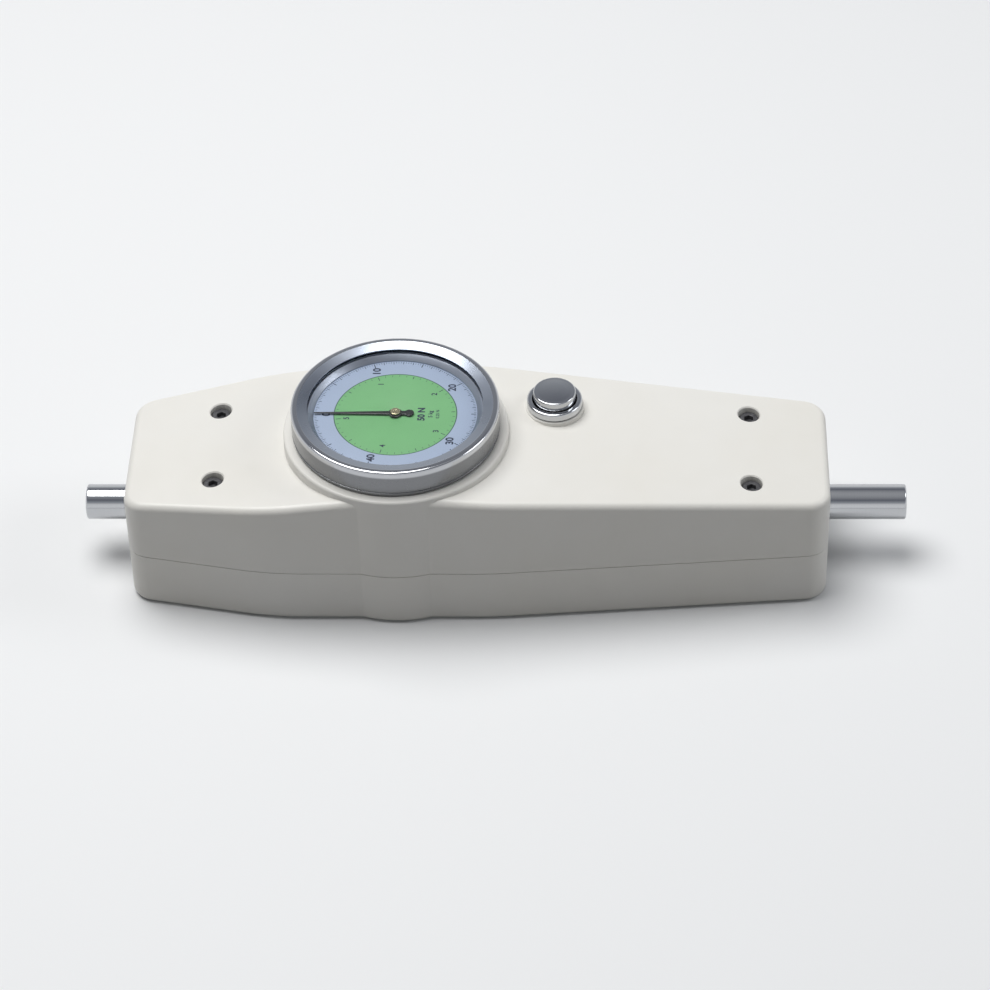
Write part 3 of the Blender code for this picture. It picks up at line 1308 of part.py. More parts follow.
def pointer(paint, brass):
    """The pointer, at zero towards the near end of the case, and the hub over its arbor."""
    root, tip = POINTER_ROOT_HALF_WIDTH, POINTER_TIP_HALF_WIDTH
    outline = [(-POINTER_LENGTH, -tip)]
    reach = POINTER_BOSS_RADIUS * cos(POINTER_BOSS_ANGLE)
    outline.append((-reach, -root))
    boss_arc = pi - POINTER_BOSS_ANGLE - POINTER_BOSS_ANGLE
    for i in range(1, ARC_STEPS):
        a = pi + POINTER_BOSS_ANGLE + boss_arc * i / ARC_STEPS
        outline.append((POINTER_BOSS_RADIUS * cos(a), POINTER_BOSS_RADIUS * sin(a)))
    outline.append((reach, -root))
    centre = POINTER_TAIL - POINTER_TAIL_RADIUS
    tail_arc = POINTER_TAIL_ANGLE + POINTER_TAIL_ANGLE
    for i in range(ARC_STEPS + 1):
        a = tail_arc * i / ARC_STEPS - POINTER_TAIL_ANGLE
        outline.append((centre + POINTER_TAIL_RADIUS * cos(a), POINTER_TAIL_RADIUS * sin(a)))
    outline.append((reach, root))
    for i in range(1, ARC_STEPS):
        a = POINTER_BOSS_ANGLE + boss_arc * i / ARC_STEPS
        outline.append((POINTER_BOSS_RADIUS * cos(a), POINTER_BOSS_RADIUS * sin(a)))
    outline.append((-reach, root))
    outline.append((-POINTER_LENGTH, tip))
    hole = circle((DIAL_X, 0), PIVOT_RADIUS + RUNNING_GAP, TINY_SIDES)
    needle = extruded("pointer", [moved(outline, (DIAL_X, 0)), hole], POINTER_BOTTOM, POINTER_TOP)
    low = POINTER_TOP + RUNNING_GAP
    high = low + HUB_HEIGHT
    bore = PIVOT_RADIUS + RUNNING_GAP
    profile = [(HUB_RADIUS, high), (HUB_RADIUS, low), (bore, low), (bore, high)]
    hub = turned("pointer_hub", profile, (DIAL_X, 0, 0), sides=SMALL_SIDES, ring=True)
    return dress(needle, paint), dress(hub, brass)


def button_cup(paint):
    """The chromed cup that guides the button; its flange lies on the round pad."""
    rise = BUTTON_PAD_TOP + CUP_RISE
    seat = BUTTON_PAD_TOP + SEAT_GAP
    bore = BUTTON_RADIUS + SEAT_GAP
    stem = BUTTON_STEM_RADIUS + SEAT_GAP
    edge = CUP_FLANGE_WIDTH / 2
    profile = [
        (BUTTON_COLLAR_RADIUS - edge, rise), (BUTTON_COLLAR_RADIUS, rise - edge),
        (BUTTON_COLLAR_RADIUS, seat), (CUP_RADIUS, seat), (CUP_RADIUS, CUP_BOTTOM),
        (stem, CUP_BOTTOM), (stem, CUP_FLOOR_TOP), (bore, CUP_FLOOR_TOP), (bore, rise),
    ]
    cup = turned("button_cup", profile, (BUTTON_X, BUTTON_OFFSET, 0), ring=True)
    return dress(cup, paint)


def button_nut(paint):
    """The six-sided nut that holds the cup from inside the shell."""
    under_roof = roof_height(BUTTON_X + NUT_RADIUS) - CASE_WALL - SEAT_GAP
    bottom = under_roof - NUT_HEIGHT
    place = (BUTTON_X, BUTTON_OFFSET)
    nut = cylinder("button_nut", NUT_RADIUS, bottom, under_roof, place, sides=6)
    bore = cylinder("nut_bore", CUP_RADIUS + RUNNING_GAP, bottom - CUT_OVERRUN,
                    under_roof + CUT_OVERRUN, place, sides=ROUND_SIDES)
    return dress(cut(nut, bore), paint)


def peak_button(paint):
    """The button and its stem, down to the tail of the brake lever."""
    edge = BUTTON_EDGE_RADIUS
    profile = [(0, BUTTON_TOP)]
    for a in quarter_turn(EDGE_STEPS):
        radius = BUTTON_RADIUS - edge + edge * sin(a)
        profile.append((radius, BUTTON_TOP - edge + edge * cos(a)))
    tip = LEVER_TOP + SEAT_GAP
    profile += [(BUTTON_RADIUS, BUTTON_BOTTOM), (BUTTON_STEM_RADIUS, BUTTON_BOTTOM),
                (BUTTON_STEM_RADIUS, tip + STEM_TIP_CHAMFER),
                (BUTTON_STEM_RADIUS - STEM_TIP_CHAMFER, tip), (0, tip)]
    place = (BUTTON_X, BUTTON_OFFSET, 0)
    return dress(turned("peak_button", profile, place), paint)


def button_spring(paint):
    """The return spring round the button's stem."""
    low = CUP_FLOOR_TOP + SEAT_GAP + BUTTON_SPRING_WIRE_RADIUS
    high = BUTTON_BOTTOM - SEAT_GAP - BUTTON_SPRING_WIRE_RADIUS
    per_turn = SPRING_POINTS_PER_TURN
    points = coil_points(0, high - low, BUTTON_SPRING_COIL_RADIUS, BUTTON_SPRING_TURNS, per_turn)
    gap = least_gap(points, per_turn, BUTTON_SPRING_WIRE_RADIUS)
    print(f"button_spring: least gap to itself {gap * 1000:.2f} mm")
    spring = wire("button_spring", [(y, z, x) for x, y, z in points], BUTTON_SPRING_WIRE_RADIUS)
    spring.location = (BUTTON_X, BUTTON_OFFSET, low)
    return dress(spring, paint)


def brake_lever(paint):
    """The lever: tail under the button's stem, hub on its pin, nose under the wheel's rim."""
    tail = Vector((BUTTON_X, BUTTON_OFFSET))
    pivot = Vector((LEVER_AXIS_X, LEVER_HUB_OFFSET))
    nose = Vector((LEVER_AXIS_X - LEVER_NOSE_ARM, LEVER_NOSE_OFFSET))
    across_tail = (tail - pivot).normalized().orthogonal() * LEVER_HALF_WIDTH
    across_nose = (pivot - nose).normalized().orthogonal() * LEVER_HALF_WIDTH
    start = atan2(across_tail.y, across_tail.x)
    outline = []
    for i in range(ARC_STEPS + 1):
        a = start - pi * i / ARC_STEPS
        outline.append((tail.x + LEVER_TAIL_RADIUS * cos(a), tail.y + LEVER_TAIL_RADIUS * sin(a)))
    outline.append(tuple(pivot - (across_tail + across_nose) / 2))
    start = atan2(-across_nose.y, -across_nose.x)
    for i in range(ARC_STEPS + 1):
        a = start - pi * i / ARC_STEPS
        outline.append((nose.x + LEVER_HALF_WIDTH * cos(a), nose.y + LEVER_HALF_WIDTH * sin(a)))
    outline.append(tuple(pivot + (across_tail + across_nose) / 2))
    lever = extruded("brake_lever", [outline], LEVER_BOTTOM, LEVER_TOP)
    half = LEVER_HUB_LENGTH / 2
    hub = cylinder("lever_hub", LEVER_HUB_RADIUS, LEVER_HUB_OFFSET - half,
                   LEVER_HUB_OFFSET + half, (LEVER_AXIS_X, LEVER_AXIS_HEIGHT), "Y")
    bore = cylinder("lever_bore", LEVER_PIN_RADIUS + RUNNING_GAP, 0,
                    LEVER_HUB_OFFSET + LEVER_ARM, (LEVER_AXIS_X, LEVER_AXIS_HEIGHT), "Y",
                    TINY_SIDES)
    return dress(cut(join(lever, hub), bore), paint)


def lever_bracket(brass, steel):
    """Two ears on the lower plate and the pin that the brake lever turns on."""
    inner = LEVER_HUB_LENGTH / 2 + SEAT_GAP
    outer = inner + EAR_THICKNESS
    floor = LOWER_PLATE_TOP + SEAT_GAP
    seat = LEVER_AXIS_HEIGHT - LEVER_HUB_RADIUS - SEAT_GAP
    top = LEVER_AXIS_HEIGHT + LEVER_HUB_RADIUS + EAR_TOP
    near, far = LEVER_HUB_OFFSET - outer, LEVER_HUB_OFFSET + outer
    side = [(near, floor), (far, floor), (far, top), (far - EAR_THICKNESS, top),
            (far - EAR_THICKNESS, seat), (near + EAR_THICKNESS, seat),
            (near + EAR_THICKNESS, top), (near, top)]
    half = EAR_LENGTH / 2
    ears = extruded("lever_bracket", [side], LEVER_AXIS_X - half, LEVER_AXIS_X + half, "X")
    axis = (LEVER_AXIS_X, LEVER_AXIS_HEIGHT)
    cut(ears, cylinder("ear_bore", LEVER_PIN_RADIUS + RUNNING_GAP, near - CUT_OVERRUN,
                       far + CUT_OVERRUN, axis, "Y", TINY_SIDES))
    pin = cylinder("lever_pin", LEVER_PIN_RADIUS, near - SEAT_GAP, far + SEAT_GAP, axis, "Y",
                   TINY_SIDES)
    return dress(ears, brass), dress(pin, steel)


def carried_by(name, place, names):
    """An empty on a joint's axis that carries the pieces of one moving body."""
    axis = bpy.data.objects.new(name, None)
    axis.location = place
    PARTS.objects.link(axis)
    bpy.context.view_layer.update()
    for child in names:
        thing = bpy.data.objects[child]
        thing.parent = axis
        thing.matrix_parent_inverse = axis.matrix_world.inverted()


def moving_bodies():
    """One empty for each joint, with the pieces that move on it."""
    carried_by("rod_slide_axis", (0, 0, ROD_AXIS_HEIGHT),
               ("measuring_rod", "spring_collar", "collar_pin", "stop_collar", "rack_carrier",
                "rack", "rack_screw_1", "rack_screw_2"))
    carried_by("transfer_axis", (TRANSFER_X, TRANSFER_Y, WHEEL_BOTTOM),
               ("transfer_pinion", "transfer_wheel"))
    carried_by("pointer_axis", (DIAL_X, 0, POINTER_BOTTOM),
               ("centre_pinion", "pointer", "pointer_hub"))
    carried_by("bezel_axis", (DIAL_X, 0, BEZEL_STEP),
               ("bezel", "dial_seat_ring", "dial_plate", "crystal_gasket", "crystal"))
    carried_by("button_axis", (BUTTON_X, BUTTON_OFFSET, BUTTON_TOP), ("peak_button",))
    carried_by("lever_axis", (LEVER_AXIS_X, LEVER_HUB_OFFSET, LEVER_AXIS_HEIGHT),
               ("brake_lever",))


def main():
    """Make the finishes, then every piece, then the empties that carry the moving ones."""
    cream = finish("cream_paint", (0.83, 0.81, 0.74), 0.0, 0.4)
    chrome = finish("chrome", (0.62, 0.63, 0.65), 1.0, 0.12)
    bright = finish("bezel_chrome", (0.66, 0.67, 0.69), 1.0, 0.15)
    steel = finish("steel", (0.45, 0.46, 0.48), 1.0, 0.35)
    spring_steel = finish("spring_steel", (0.30, 0.31, 0.33), 1.0, 0.4)
    brass = finish("brass", (0.62, 0.47, 0.20), 1.0, 0.35)
    bush_metal = finish("bush_metal", (0.55, 0.56, 0.58), 1.0, 0.3)
    felt = finish("felt", (0.08, 0.08, 0.08), 0.0, 0.95)
    alloy = finish("alloy", (0.60, 0.61, 0.62), 1.0, 0.45)
    face = finish("dial_face", (0.36, 0.62, 0.40), 0.0, 0.6)
    rubber = finish("black_rubber", (0.02, 0.02, 0.02), 0.0, 0.8)
    glass = finish("clear_crystal", (0.90, 0.93, 0.95), 0.0, 0.05, 0.2)
    black = finish("black_paint", (0.01, 0.01, 0.012), 0.0, 0.4)
    front_shell(cream)
    rear_shell(cream)
    case_screws(steel)
    floor_screws(steel)
    rod_bushes(bush_metal, felt)
    measuring_rod(chrome)
    spring_collar = (SPRING_COLLAR_LEFT, SPRING_COLLAR_RIGHT)
    rod_ring("spring_collar", SPRING_COLLAR_RADIUS, *spring_collar, steel,
             pin_hole("collar_hole"))
    rod_ring("stop_collar", ROD_RADIUS + SEAT_GAP + STOP_COLLAR_WALL, STOP_LEFT, STOP_RIGHT,
             steel)
    collar_pin(steel)
    load_spring("load_spring_left", ABUTMENT_LEFT_FACE, spring_steel)
    load_spring("load_spring_right", SPRING_COLLAR_RIGHT, spring_steel)
    brackets(alloy)
    rack(brass)
    rack_carrier(alloy)
    rack_screws(steel)
    transfer_gear(steel, brass)
    centre_arbor(steel)
    hairspring(spring_steel, brass)
    lower_plate(brass)
    upper_plate(brass)
    pillars(brass)
    plate_screws(steel)
    dial_ring(alloy)
    bezel(bright)
    bezel_clip(spring_steel)
    bezel_inserts(alloy, face, rubber, glass)
    pointer(black, brass)
    button_cup(chrome)
    button_nut(brass)
    peak_button(chrome)
    button_spring(spring_steel)
    brake_lever(steel)
    lever_bracket(brass, steel)
    moving_bodies()


main()
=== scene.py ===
"""Push-pull force gauge: smooth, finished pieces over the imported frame, laid out as an add-on.

X runs along the measuring rod, Z points out of the dial, and the case lies on its back on the
floor. All sizes are in metres. A form here is a pair: an array of points and an array of faces
with four corners each.
"""

import json
from math import pi, radians

import bmesh
import bpy
import numpy as np
from bpy.props import FloatProperty, FloatVectorProperty, IntProperty, PointerProperty
from mathutils import Matrix, Vector


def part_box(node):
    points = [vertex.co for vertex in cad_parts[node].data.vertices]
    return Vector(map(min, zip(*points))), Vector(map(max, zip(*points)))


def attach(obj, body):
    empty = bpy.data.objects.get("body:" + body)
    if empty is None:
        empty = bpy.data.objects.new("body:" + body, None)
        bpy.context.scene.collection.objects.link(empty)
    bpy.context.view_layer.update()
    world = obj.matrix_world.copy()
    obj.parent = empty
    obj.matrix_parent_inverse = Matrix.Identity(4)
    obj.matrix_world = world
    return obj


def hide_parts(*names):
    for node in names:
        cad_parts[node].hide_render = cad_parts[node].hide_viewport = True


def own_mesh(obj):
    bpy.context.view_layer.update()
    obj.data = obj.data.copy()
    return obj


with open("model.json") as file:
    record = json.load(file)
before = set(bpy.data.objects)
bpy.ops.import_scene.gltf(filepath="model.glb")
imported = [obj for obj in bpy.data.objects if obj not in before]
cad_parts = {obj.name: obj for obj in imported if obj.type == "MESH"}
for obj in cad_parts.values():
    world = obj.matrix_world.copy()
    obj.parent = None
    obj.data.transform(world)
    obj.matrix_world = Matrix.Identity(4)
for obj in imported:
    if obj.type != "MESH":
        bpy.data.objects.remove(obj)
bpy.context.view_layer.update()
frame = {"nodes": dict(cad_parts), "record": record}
NODES = frame["nodes"]

bl_info = {
    "name": "Push-pull force gauge",
    "version": (1, 0, 0),
    "blender": (4, 5, 0),
    "location": "View3D > Sidebar > Gauge",
    "description": "Dresses the packed frame of a push-pull force gauge",
    "category": "Object",
}

ROD_LOW, ROD_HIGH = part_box("measuring_rod")
REAR_LOW, REAR_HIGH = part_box("rear_shell")
BEZEL_LOW, BEZEL_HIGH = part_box("bezel")
DIAL_LOW, DIAL_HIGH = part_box("dial_plate")
CRYSTAL_LOW, CRYSTAL_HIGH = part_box("crystal")
CUP_LOW, CUP_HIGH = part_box("button_cup")
BUTTON_LOW, BUTTON_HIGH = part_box("peak_button")

ROD_AXIS = (ROD_LOW.z + ROD_HIGH.z) / 2
ROD_RADIUS = (ROD_HIGH.z - ROD_LOW.z) / 2
CASE_LEFT, CASE_RIGHT = REAR_LOW.x, REAR_HIGH.x
DIAL_X = (BEZEL_LOW.x + BEZEL_HIGH.x) / 2
BUTTON_X = (CUP_LOW.x + CUP_HIGH.x) / 2
BUTTON_Y = (CUP_LOW.y + CUP_HIGH.y) / 2

FINE = 192
ROUND = 96
SMALL = 48
WELD = 1e-7
SHARP_ANGLE = radians(32)


# Forms


def net(points, around=True, along=False):
    """Quads between neighbours of a grid of points; around closes the rows, along the columns."""
    rows, columns = points.shape[:2]
    i, j = np.meshgrid(np.arange(rows if around else rows - 1),
                       np.arange(columns if along else columns - 1), indexing="ij")
    next_i, next_j = (i + 1) % rows, (j + 1) % columns
    corners = [i * columns + j, next_i * columns + j, next_i * columns + next_j,
               i * columns + next_j]
    return points.reshape(-1, 3), np.stack(corners, axis=-1).reshape(-1, 4)


def gathered(*forms):
    """Several forms as one: their points in a row, their faces counted on from the last."""
    starts = np.cumsum([0] + [len(points) for points, _ in forms[:-1]])
    points = np.concatenate([points for points, _ in forms])
    return points, np.concatenate([faces + start for (_, faces), start in zip(forms, starts)])


def moved(form, centre, axis="Z"):
    """A form made about Z, laid along an axis and shifted to its centre."""
    points, faces = form
    x, y, z = points.T
    turned = {"Z": (x, y, z), "X": (z, x, y), "-X": (-z, -x, y)}[axis]
    return np.stack(turned, axis=1) + np.array(centre), faces


def softened(corners, radii, steps=6):
    """A closed outline whose corners become arcs: each arc's centre lies on the line that halves
    the corner, and its points turn evenly from one touching point to the other."""
    here = np.array(corners, float)
    before = np.roll(here, 1, axis=0) - here
    after = np.roll(here, -1, axis=0) - here
    length_before = np.linalg.norm(before, axis=1, keepdims=True)
    length_after = np.linalg.norm(after, axis=1, keepdims=True)
    before, after = before / length_before, after / length_after
    half = np.arccos(np.clip((before * after).sum(1, keepdims=True), -1, 1)) / 2
    reach = np.minimum(np.array(radii, float)[:, None] / np.tan(half),
                       np.minimum(length_before, length_after) * 0.49)
    radius = reach * np.tan(half)
    middle = before + after
    middle /= np.maximum(np.linalg.norm(middle, axis=1, keepdims=True), 1e-12)
    centre = here + middle * radius / np.sin(half)
    first, last = here + before * reach - centre, here + after * reach - centre
    sweep = np.maximum(pi - 2 * half, 1e-6)[:, None]
    share = np.linspace(0, 1, steps + 1)[None, :, None]
    arc = np.sin((1 - share) * sweep) * first[:, None] + np.sin(share * sweep) * last[:, None]
    return (centre[:, None] + arc / np.sin(sweep)).reshape(-1, 2)


def resampled(line, count):
    """Points at equal steps along a line."""
    steps = np.linalg.norm(np.diff(line, axis=0), axis=1)
    along = np.concatenate([[0], np.cumsum(steps)])
    wanted = np.linspace(0, along[-1], count)
    return np.stack([np.interp(wanted, along, line[:, k]) for k in range(2)], axis=1)


def spun(radius, height, sides, ring=False):
    """A profile turned about Z: the point at angle a is (r cos a, r sin a, h). The radius may
    change with the angle as well, one row for each side."""
    angle = np.linspace(0, 2 * pi, sides, endpoint=False)[:, None]
    radius = np.broadcast_to(np.asarray(radius, float), (sides, np.shape(radius)[-1]))
    height = np.broadcast_to(np.asarray(height, float), radius.shape)
    points = np.stack([radius * np.cos(angle), radius * np.sin(angle), height], axis=-1)
    return net(points, True, ring)


def ring_of(profile, sides, centre, axis="Z"):
    """A closed profile of (radius, height) points turned into a ring."""
    profile = np.array(profile)
    return moved(spun(profile[:, 0], profile[:, 1], sides, ring=True), centre, axis)


def solid_of(profile, sides, centre, axis="Z"):
    """A profile from the axis back to the axis, turned into a solid."""
    profile = np.array(profile)
    return moved(spun(profile[:, 0], profile[:, 1], sides), centre, axis)


def cylinder(radius, low, high, centre, sides=SMALL):
    """A plain cylinder for joining or cutting."""
    return solid_of([(0, low), (radius, low), (radius, high), (0, high)], sides, centre)


def tube(path, outward, width, height, sides=12):
    """A wire along a path: at each point an oval of the given half sizes, the width towards
    outward and the height square to it and to the path, with both ends drawn in to a point."""
    ahead = np.gradient(path, axis=0)
    ahead /= np.linalg.norm(ahead, axis=1, keepdims=True)
    normal = outward - (outward * ahead).sum(1, keepdims=True) * ahead
    normal /= np.linalg.norm(normal, axis=1, keepdims=True)
    side = np.cross(ahead, normal)
    path, normal, side = (np.concatenate([a[:1], a, a[-1:]]) for a in (path, normal, side))
    size = np.ones(len(path))
    size[[0, -1]] = 0
    angle = np.linspace(0, 2 * pi, sides, endpoint=False)[:, None, None]
    across = width * np.cos(angle) * normal + height * np.sin(angle) * side
    return net(path + across * size[:, None])


def coil(start, end, radius, wire, turns, end_turns, per_turn=40):
    """A compression spring about Z: the angle grows evenly, and the height grows by one wire's
    width a turn in the closed turns at both ends and evenly between them."""
    count = int((turns + 2 * end_turns) * per_turn)
    turn = np.linspace(0, turns + 2 * end_turns, count + 1)
    closed = 2 * wire * end_turns
    knots = [0, end_turns, turns + end_turns, turns + 2 * end_turns]
    rise = np.interp(turn, knots, [wire, wire + closed, end - start - wire - closed,
                                   end - start - wire])
    angle = 2 * pi * turn
    outward = np.stack([np.cos(angle), np.sin(angle), 0 * angle], axis=1)
    path = outward * radius
    path[:, 2] = start + rise
    return tube(path, outward, wire, wire)


# Meshes and pieces


def mesh_of(name, form):
    """A mesh of a form: seams and poles merged, faces turned outwards."""
    points, faces = form
    mesh = bpy.data.meshes.new(name)
    mesh.from_pydata(points.tolist(), [], faces.tolist())
    shape = bmesh.new()
    shape.from_mesh(mesh)
    bmesh.ops.remove_doubles(shape, verts=shape.verts, dist=WELD)
    bmesh.ops.recalc_face_normals(shape, faces=shape.faces)
    shape.to_mesh(mesh)
    shape.free()
    return mesh


def carved(name, form, *steps):
    """A mesh of a form after other forms were joined to it or cut from it, one after another."""
    base = bpy.data.objects.new(name, mesh_of(name, form))
    bpy.context.scene.collection.objects.link(base)
    tools = []
    for operation, other in steps:
        tool = bpy.data.objects.new("tool", mesh_of("tool", other))
        bpy.context.scene.collection.objects.link(tool)
        tools.append(tool)
        step = base.modifiers.new(operation, "BOOLEAN")
        step.operation = operation
        step.solver = "EXACT"
        step.object = tool
    bpy.context.view_layer.update()
    graph = bpy.context.evaluated_depsgraph_get()
    mesh = bpy.data.meshes.new_from_object(base.evaluated_get(graph))
    for thing in [base, *tools]:
        bpy.data.objects.remove(thing, do_unlink=True)
    mesh.name = name
    return mesh


def show(name, mesh, finish, body, replaces=()):
    """A finished piece: smooth but for its sharp edges, in its material, riding on its body."""
    mesh.materials.clear()
    mesh.materials.append(finish)
    mesh.shade_smooth()
    mesh.set_sharp_from_angle(angle=SHARP_ANGLE)
    piece = bpy.data.objects.new(name, mesh)
    bpy.context.scene.collection.objects.link(piece)
    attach(piece, body)
    if replaces:
        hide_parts(*replaces)
    return piece


# Materials


class Reading:
    """A number that varies over a surface; arithmetic on it adds Math nodes."""

    def __init__(self, tree, socket):
        self.tree = tree
        self.socket = socket

    def math(self, operation, first, second):
        """The result of one Math node."""
        return self.tree.node("ShaderNodeMath", {"operation": operation}, {0: first, 1: second})

    def __add__(self, other):
        return self.math("ADD", self, other)

    def __sub__(self, other):
        return self.math("SUBTRACT", self, other)

    def __rsub__(self, other):
        return self.math("SUBTRACT", other, self)

    def __mul__(self, other):
        return self.math("MULTIPLY", self, other)

    def __pow__(self, other):
        return self.math("POWER", self, other)

    __radd__ = __add__
    __rmul__ = __mul__


class Tree:
    """A node tree that is written as calls."""

    def __init__(self, tree):
        self.tree = tree

    def put(self, socket, value):
        """Link a reading to a socket, or set the socket's own value."""
        if isinstance(value, Reading):
            self.tree.links.new(value.socket, socket)
        else:
            socket.default_value = value

    def node(self, kind, settings=None, inputs=None, output=0):
        """Add a node: its settings first, then the values or links of its sockets."""
        made = self.tree.nodes.new(kind)
        for key, value in (settings or {}).items():
            if key == "stops":
                ramp = made.color_ramp.elements
                ramp.remove(ramp[1])
                ramp[0].position, ramp[0].color = value[0]
                for place, colour in value[1:]:
                    ramp.new(place).color = colour
            else:
                setattr(made, key, value)
        for key, value in (inputs or {}).items():
            self.put(made.inputs[key], value)
        return Reading(self, made.outputs[output])

    def colour(self, share, first, second):
        """A mix of two colours."""
        first, second = (c if isinstance(c, Reading) else (*c, 1) for c in (first, second))
        return self.node("ShaderNodeMix", {"data_type": "RGBA"}, {0: share, 6: first, 7: second},
                         output=2)


class Finish(Tree):
    """A material under construction: a Principled shader and what varies on it."""

    def __init__(self, name, colour, metallic=0.0, roughness=0.5):
        self.material = bpy.data.materials.new(name)
        self.material.use_nodes = True
        self.material.diffuse_color = (*colour, 1)
        super().__init__(self.material.node_tree)
        self.shader = self.tree.nodes["Principled BSDF"]
        self.shade(Base_Color=(*colour, 1), Metallic=metallic, Roughness=roughness)

    def shade(self, **inputs):
        """Set or link inputs of the Principled shader."""
        for key, value in inputs.items():
            self.put(self.shader.inputs[key.replace("_", " ")], value)

    def place(self, centre=(0, 0, 0), scale=(1, 1, 1)):
        """Object coordinates about a centre, in units of a scale."""
        here = self.node("ShaderNodeTexCoord", output=3)
        return self.node("ShaderNodeMapping", {"vector_type": "TEXTURE"},
                         {"Vector": here, "Location": centre, "Scale": scale})

    def split(self, vector):
        """The three coordinates of a vector."""
        first = self.node("ShaderNodeSeparateXYZ", inputs={0: vector})
        outputs = first.socket.node.outputs
        return [Reading(self, outputs[k]) for k in range(3)]

    def joined(self, x, y, z):
        """A vector of three numbers."""
        return self.node("ShaderNodeCombineXYZ", inputs={0: x, 1: y, 2: z})

    def noise(self, vector, scale, detail=3.0, roughness=0.5):
        """Soft noise from 0 to 1."""
        return self.node("ShaderNodeTexNoise", inputs={
            "Vector": vector, "Scale": scale, "Detail": detail, "Roughness": roughness})

    def range(self, value, low, high, new_low, new_high):
        """A reading moved from one range to another and held inside it."""
        return self.node("ShaderNodeMapRange", inputs={
            0: value, 1: low, 2: high, 3: new_low, 4: new_high})

    def spread(self, noise, low, high):
        """The middle of a noise, from 0.3 to 0.7, spread from one value to another."""
        return self.range(noise, 0.3, 0.7, low, high)

    def bump(self, height, distance, strength):
        """A normal that follows a height."""
        return self.node("ShaderNodeBump", inputs={
            "Height": height, "Distance": distance, "Strength": strength})


def dimmed(colour, share):
    """A colour times a share."""
    return tuple(c * share for c in colour)


def case_paint(colour):
    """Satin enamel on cast alloy: fine orange peel, faint clouding, and painted shade low down."""
    finish = Finish("case_paint", colour, 0.0, 0.36)
    here = finish.place()
    peel = finish.noise(here, 900, 2.0)
    cast = finish.noise(here, 160, 3.0)
    cloud = finish.noise(here, 22, 4.0, 0.6)
    _, _, height = finish.split(here)
    # painted shade: within 6 mm of the floor the paint turns darker and warmer, where the floor's
    # shade falls
    low = finish.range(height, 0.0, 0.006, 1.0, 0.0)
    clouded_and_shaded = tuple(c * s for c, s in zip(colour, (0.955, 0.94, 0.90)))
    # the clouding is the paint's own tone; the low term adds the painted shade near the floor
    share = finish.range(cloud, 0.35, 0.75, 0.0, 0.55) + low * 0.3
    finish.shade(
        Base_Color=finish.colour(share, colour, clouded_and_shaded),
        Roughness=finish.spread(cast, 0.31, 0.42),
        Normal=finish.bump(peel * 0.5 + cast * 0.5, 0.00004, 0.5),
    )
    return finish.material


def turned_metal(name, colour, roughness, centre, axis, marks, spread=0.06):
    """Metal with fine turning marks: noise over the distance from an axis and the place along it,
    and the least wander round it."""
    finish = Finish(name, colour, 1.0, roughness)
    x, y, z = finish.split(finish.place(centre))
    across, other, along = {"X": (y, z, x), "Z": (x, y, z)}[axis]
    distance = (across * across + other * other) ** 0.5
    lines = finish.noise(finish.joined(distance, along, 0.0), 5200, 2.0, 0.7)
    smear = finish.noise(finish.place(centre), 140, 3.0)
    shade = dimmed(colour, 0.86)
    finish.shade(
        Base_Color=finish.colour(finish.range(lines, 0.3, 0.75, 0.0, 0.6), colour, shade),
        Roughness=finish.spread(smear, roughness, roughness + spread),
        Normal=finish.bump(lines, 0.00001 * marks, marks),
    )
    return finish.material


def bezel_metal(colour, slope_painted_reflection, wall_colour, centre, crest_radius, top):
    """Polished bezel: a bright crest with fine ring marks, a satin slope inside it and a satin
    wall below it, whose darker colours are a painted dark reflection."""
    finish = Finish("bezel_metal", colour, 1.0, 0.1)
    x, y, z = finish.split(finish.place(centre))
    distance = (x * x + y * y) ** 0.5
    lines = finish.noise(finish.joined(distance, z, 0.0), 4800, 2.0, 0.7)
    smear = finish.noise(finish.place(centre), 90, 4.0)
    # painted reflection: inside the crest the colour turns to the slope's darker colour, standing
    # in for the dark things the chrome mirrors
    inside = finish.range(distance, crest_radius - 0.0002, crest_radius, 1.0, 0.0)
    # painted reflection: the wall below the crest gets a darker colour, standing in for the dark
    # surroundings it mirrors
    wall = finish.range(z, top - 0.0021, top - 0.0015, 1.0, 0.0) * (1 - inside)
    wiped = finish.colour(finish.range(lines, 0.3, 0.8, 0.0, 0.5), colour, dimmed(colour, 0.85))
    # satin carries the painted dark reflection on the wall
    satin = finish.colour(wall, wiped, wall_colour)
    finish.shade(
        Base_Color=finish.colour(inside, satin, slope_painted_reflection),
        Roughness=finish.spread(smear, 0.09, 0.16) + inside * 0.16 + wall * 0.14,
        Normal=finish.bump(lines, 0.000004, 0.35),
    )
    return finish.material


def brushed(name, colour, roughness, scale=260):
    """Plain machined metal: long soft streaks along X, with small changes of shade."""
    finish = Finish(name, colour, 1.0, roughness)
    narrow = 1 / 14
    streak = finish.noise(finish.place(scale=(1, narrow, narrow)), scale, 3.0, 0.65)
    patch = finish.noise(finish.place(), 70, 3.0)
    dark = dimmed(colour, 0.8)
    finish.shade(
        Base_Color=finish.colour(finish.range(streak, 0.3, 0.75, 0.0, 0.8), colour, dark),
        Roughness=finish.spread(patch, roughness, roughness + 0.12),
        Normal=finish.bump(streak, 0.00001, 0.4),
    )
    return finish.material


def soft_black(name, colour, roughness, scale, depth, strength):
    """Felt, rubber or black lacquer: a dark surface with fine fibres or grain."""
    finish = Finish(name, colour, 0.0, roughness)
    grain = finish.noise(finish.place(), scale, 5.0, 0.7)
    light = tuple(c * 2.2 + 0.004 for c in colour)
    finish.shade(
        Base_Color=finish.colour(finish.range(grain, 0.45, 0.8, 0.0, 1.0), colour, light),
        Roughness=finish.spread(grain, roughness - 0.06, roughness + 0.06),
        Normal=finish.bump(grain, depth, strength),
    )
    return finish.material


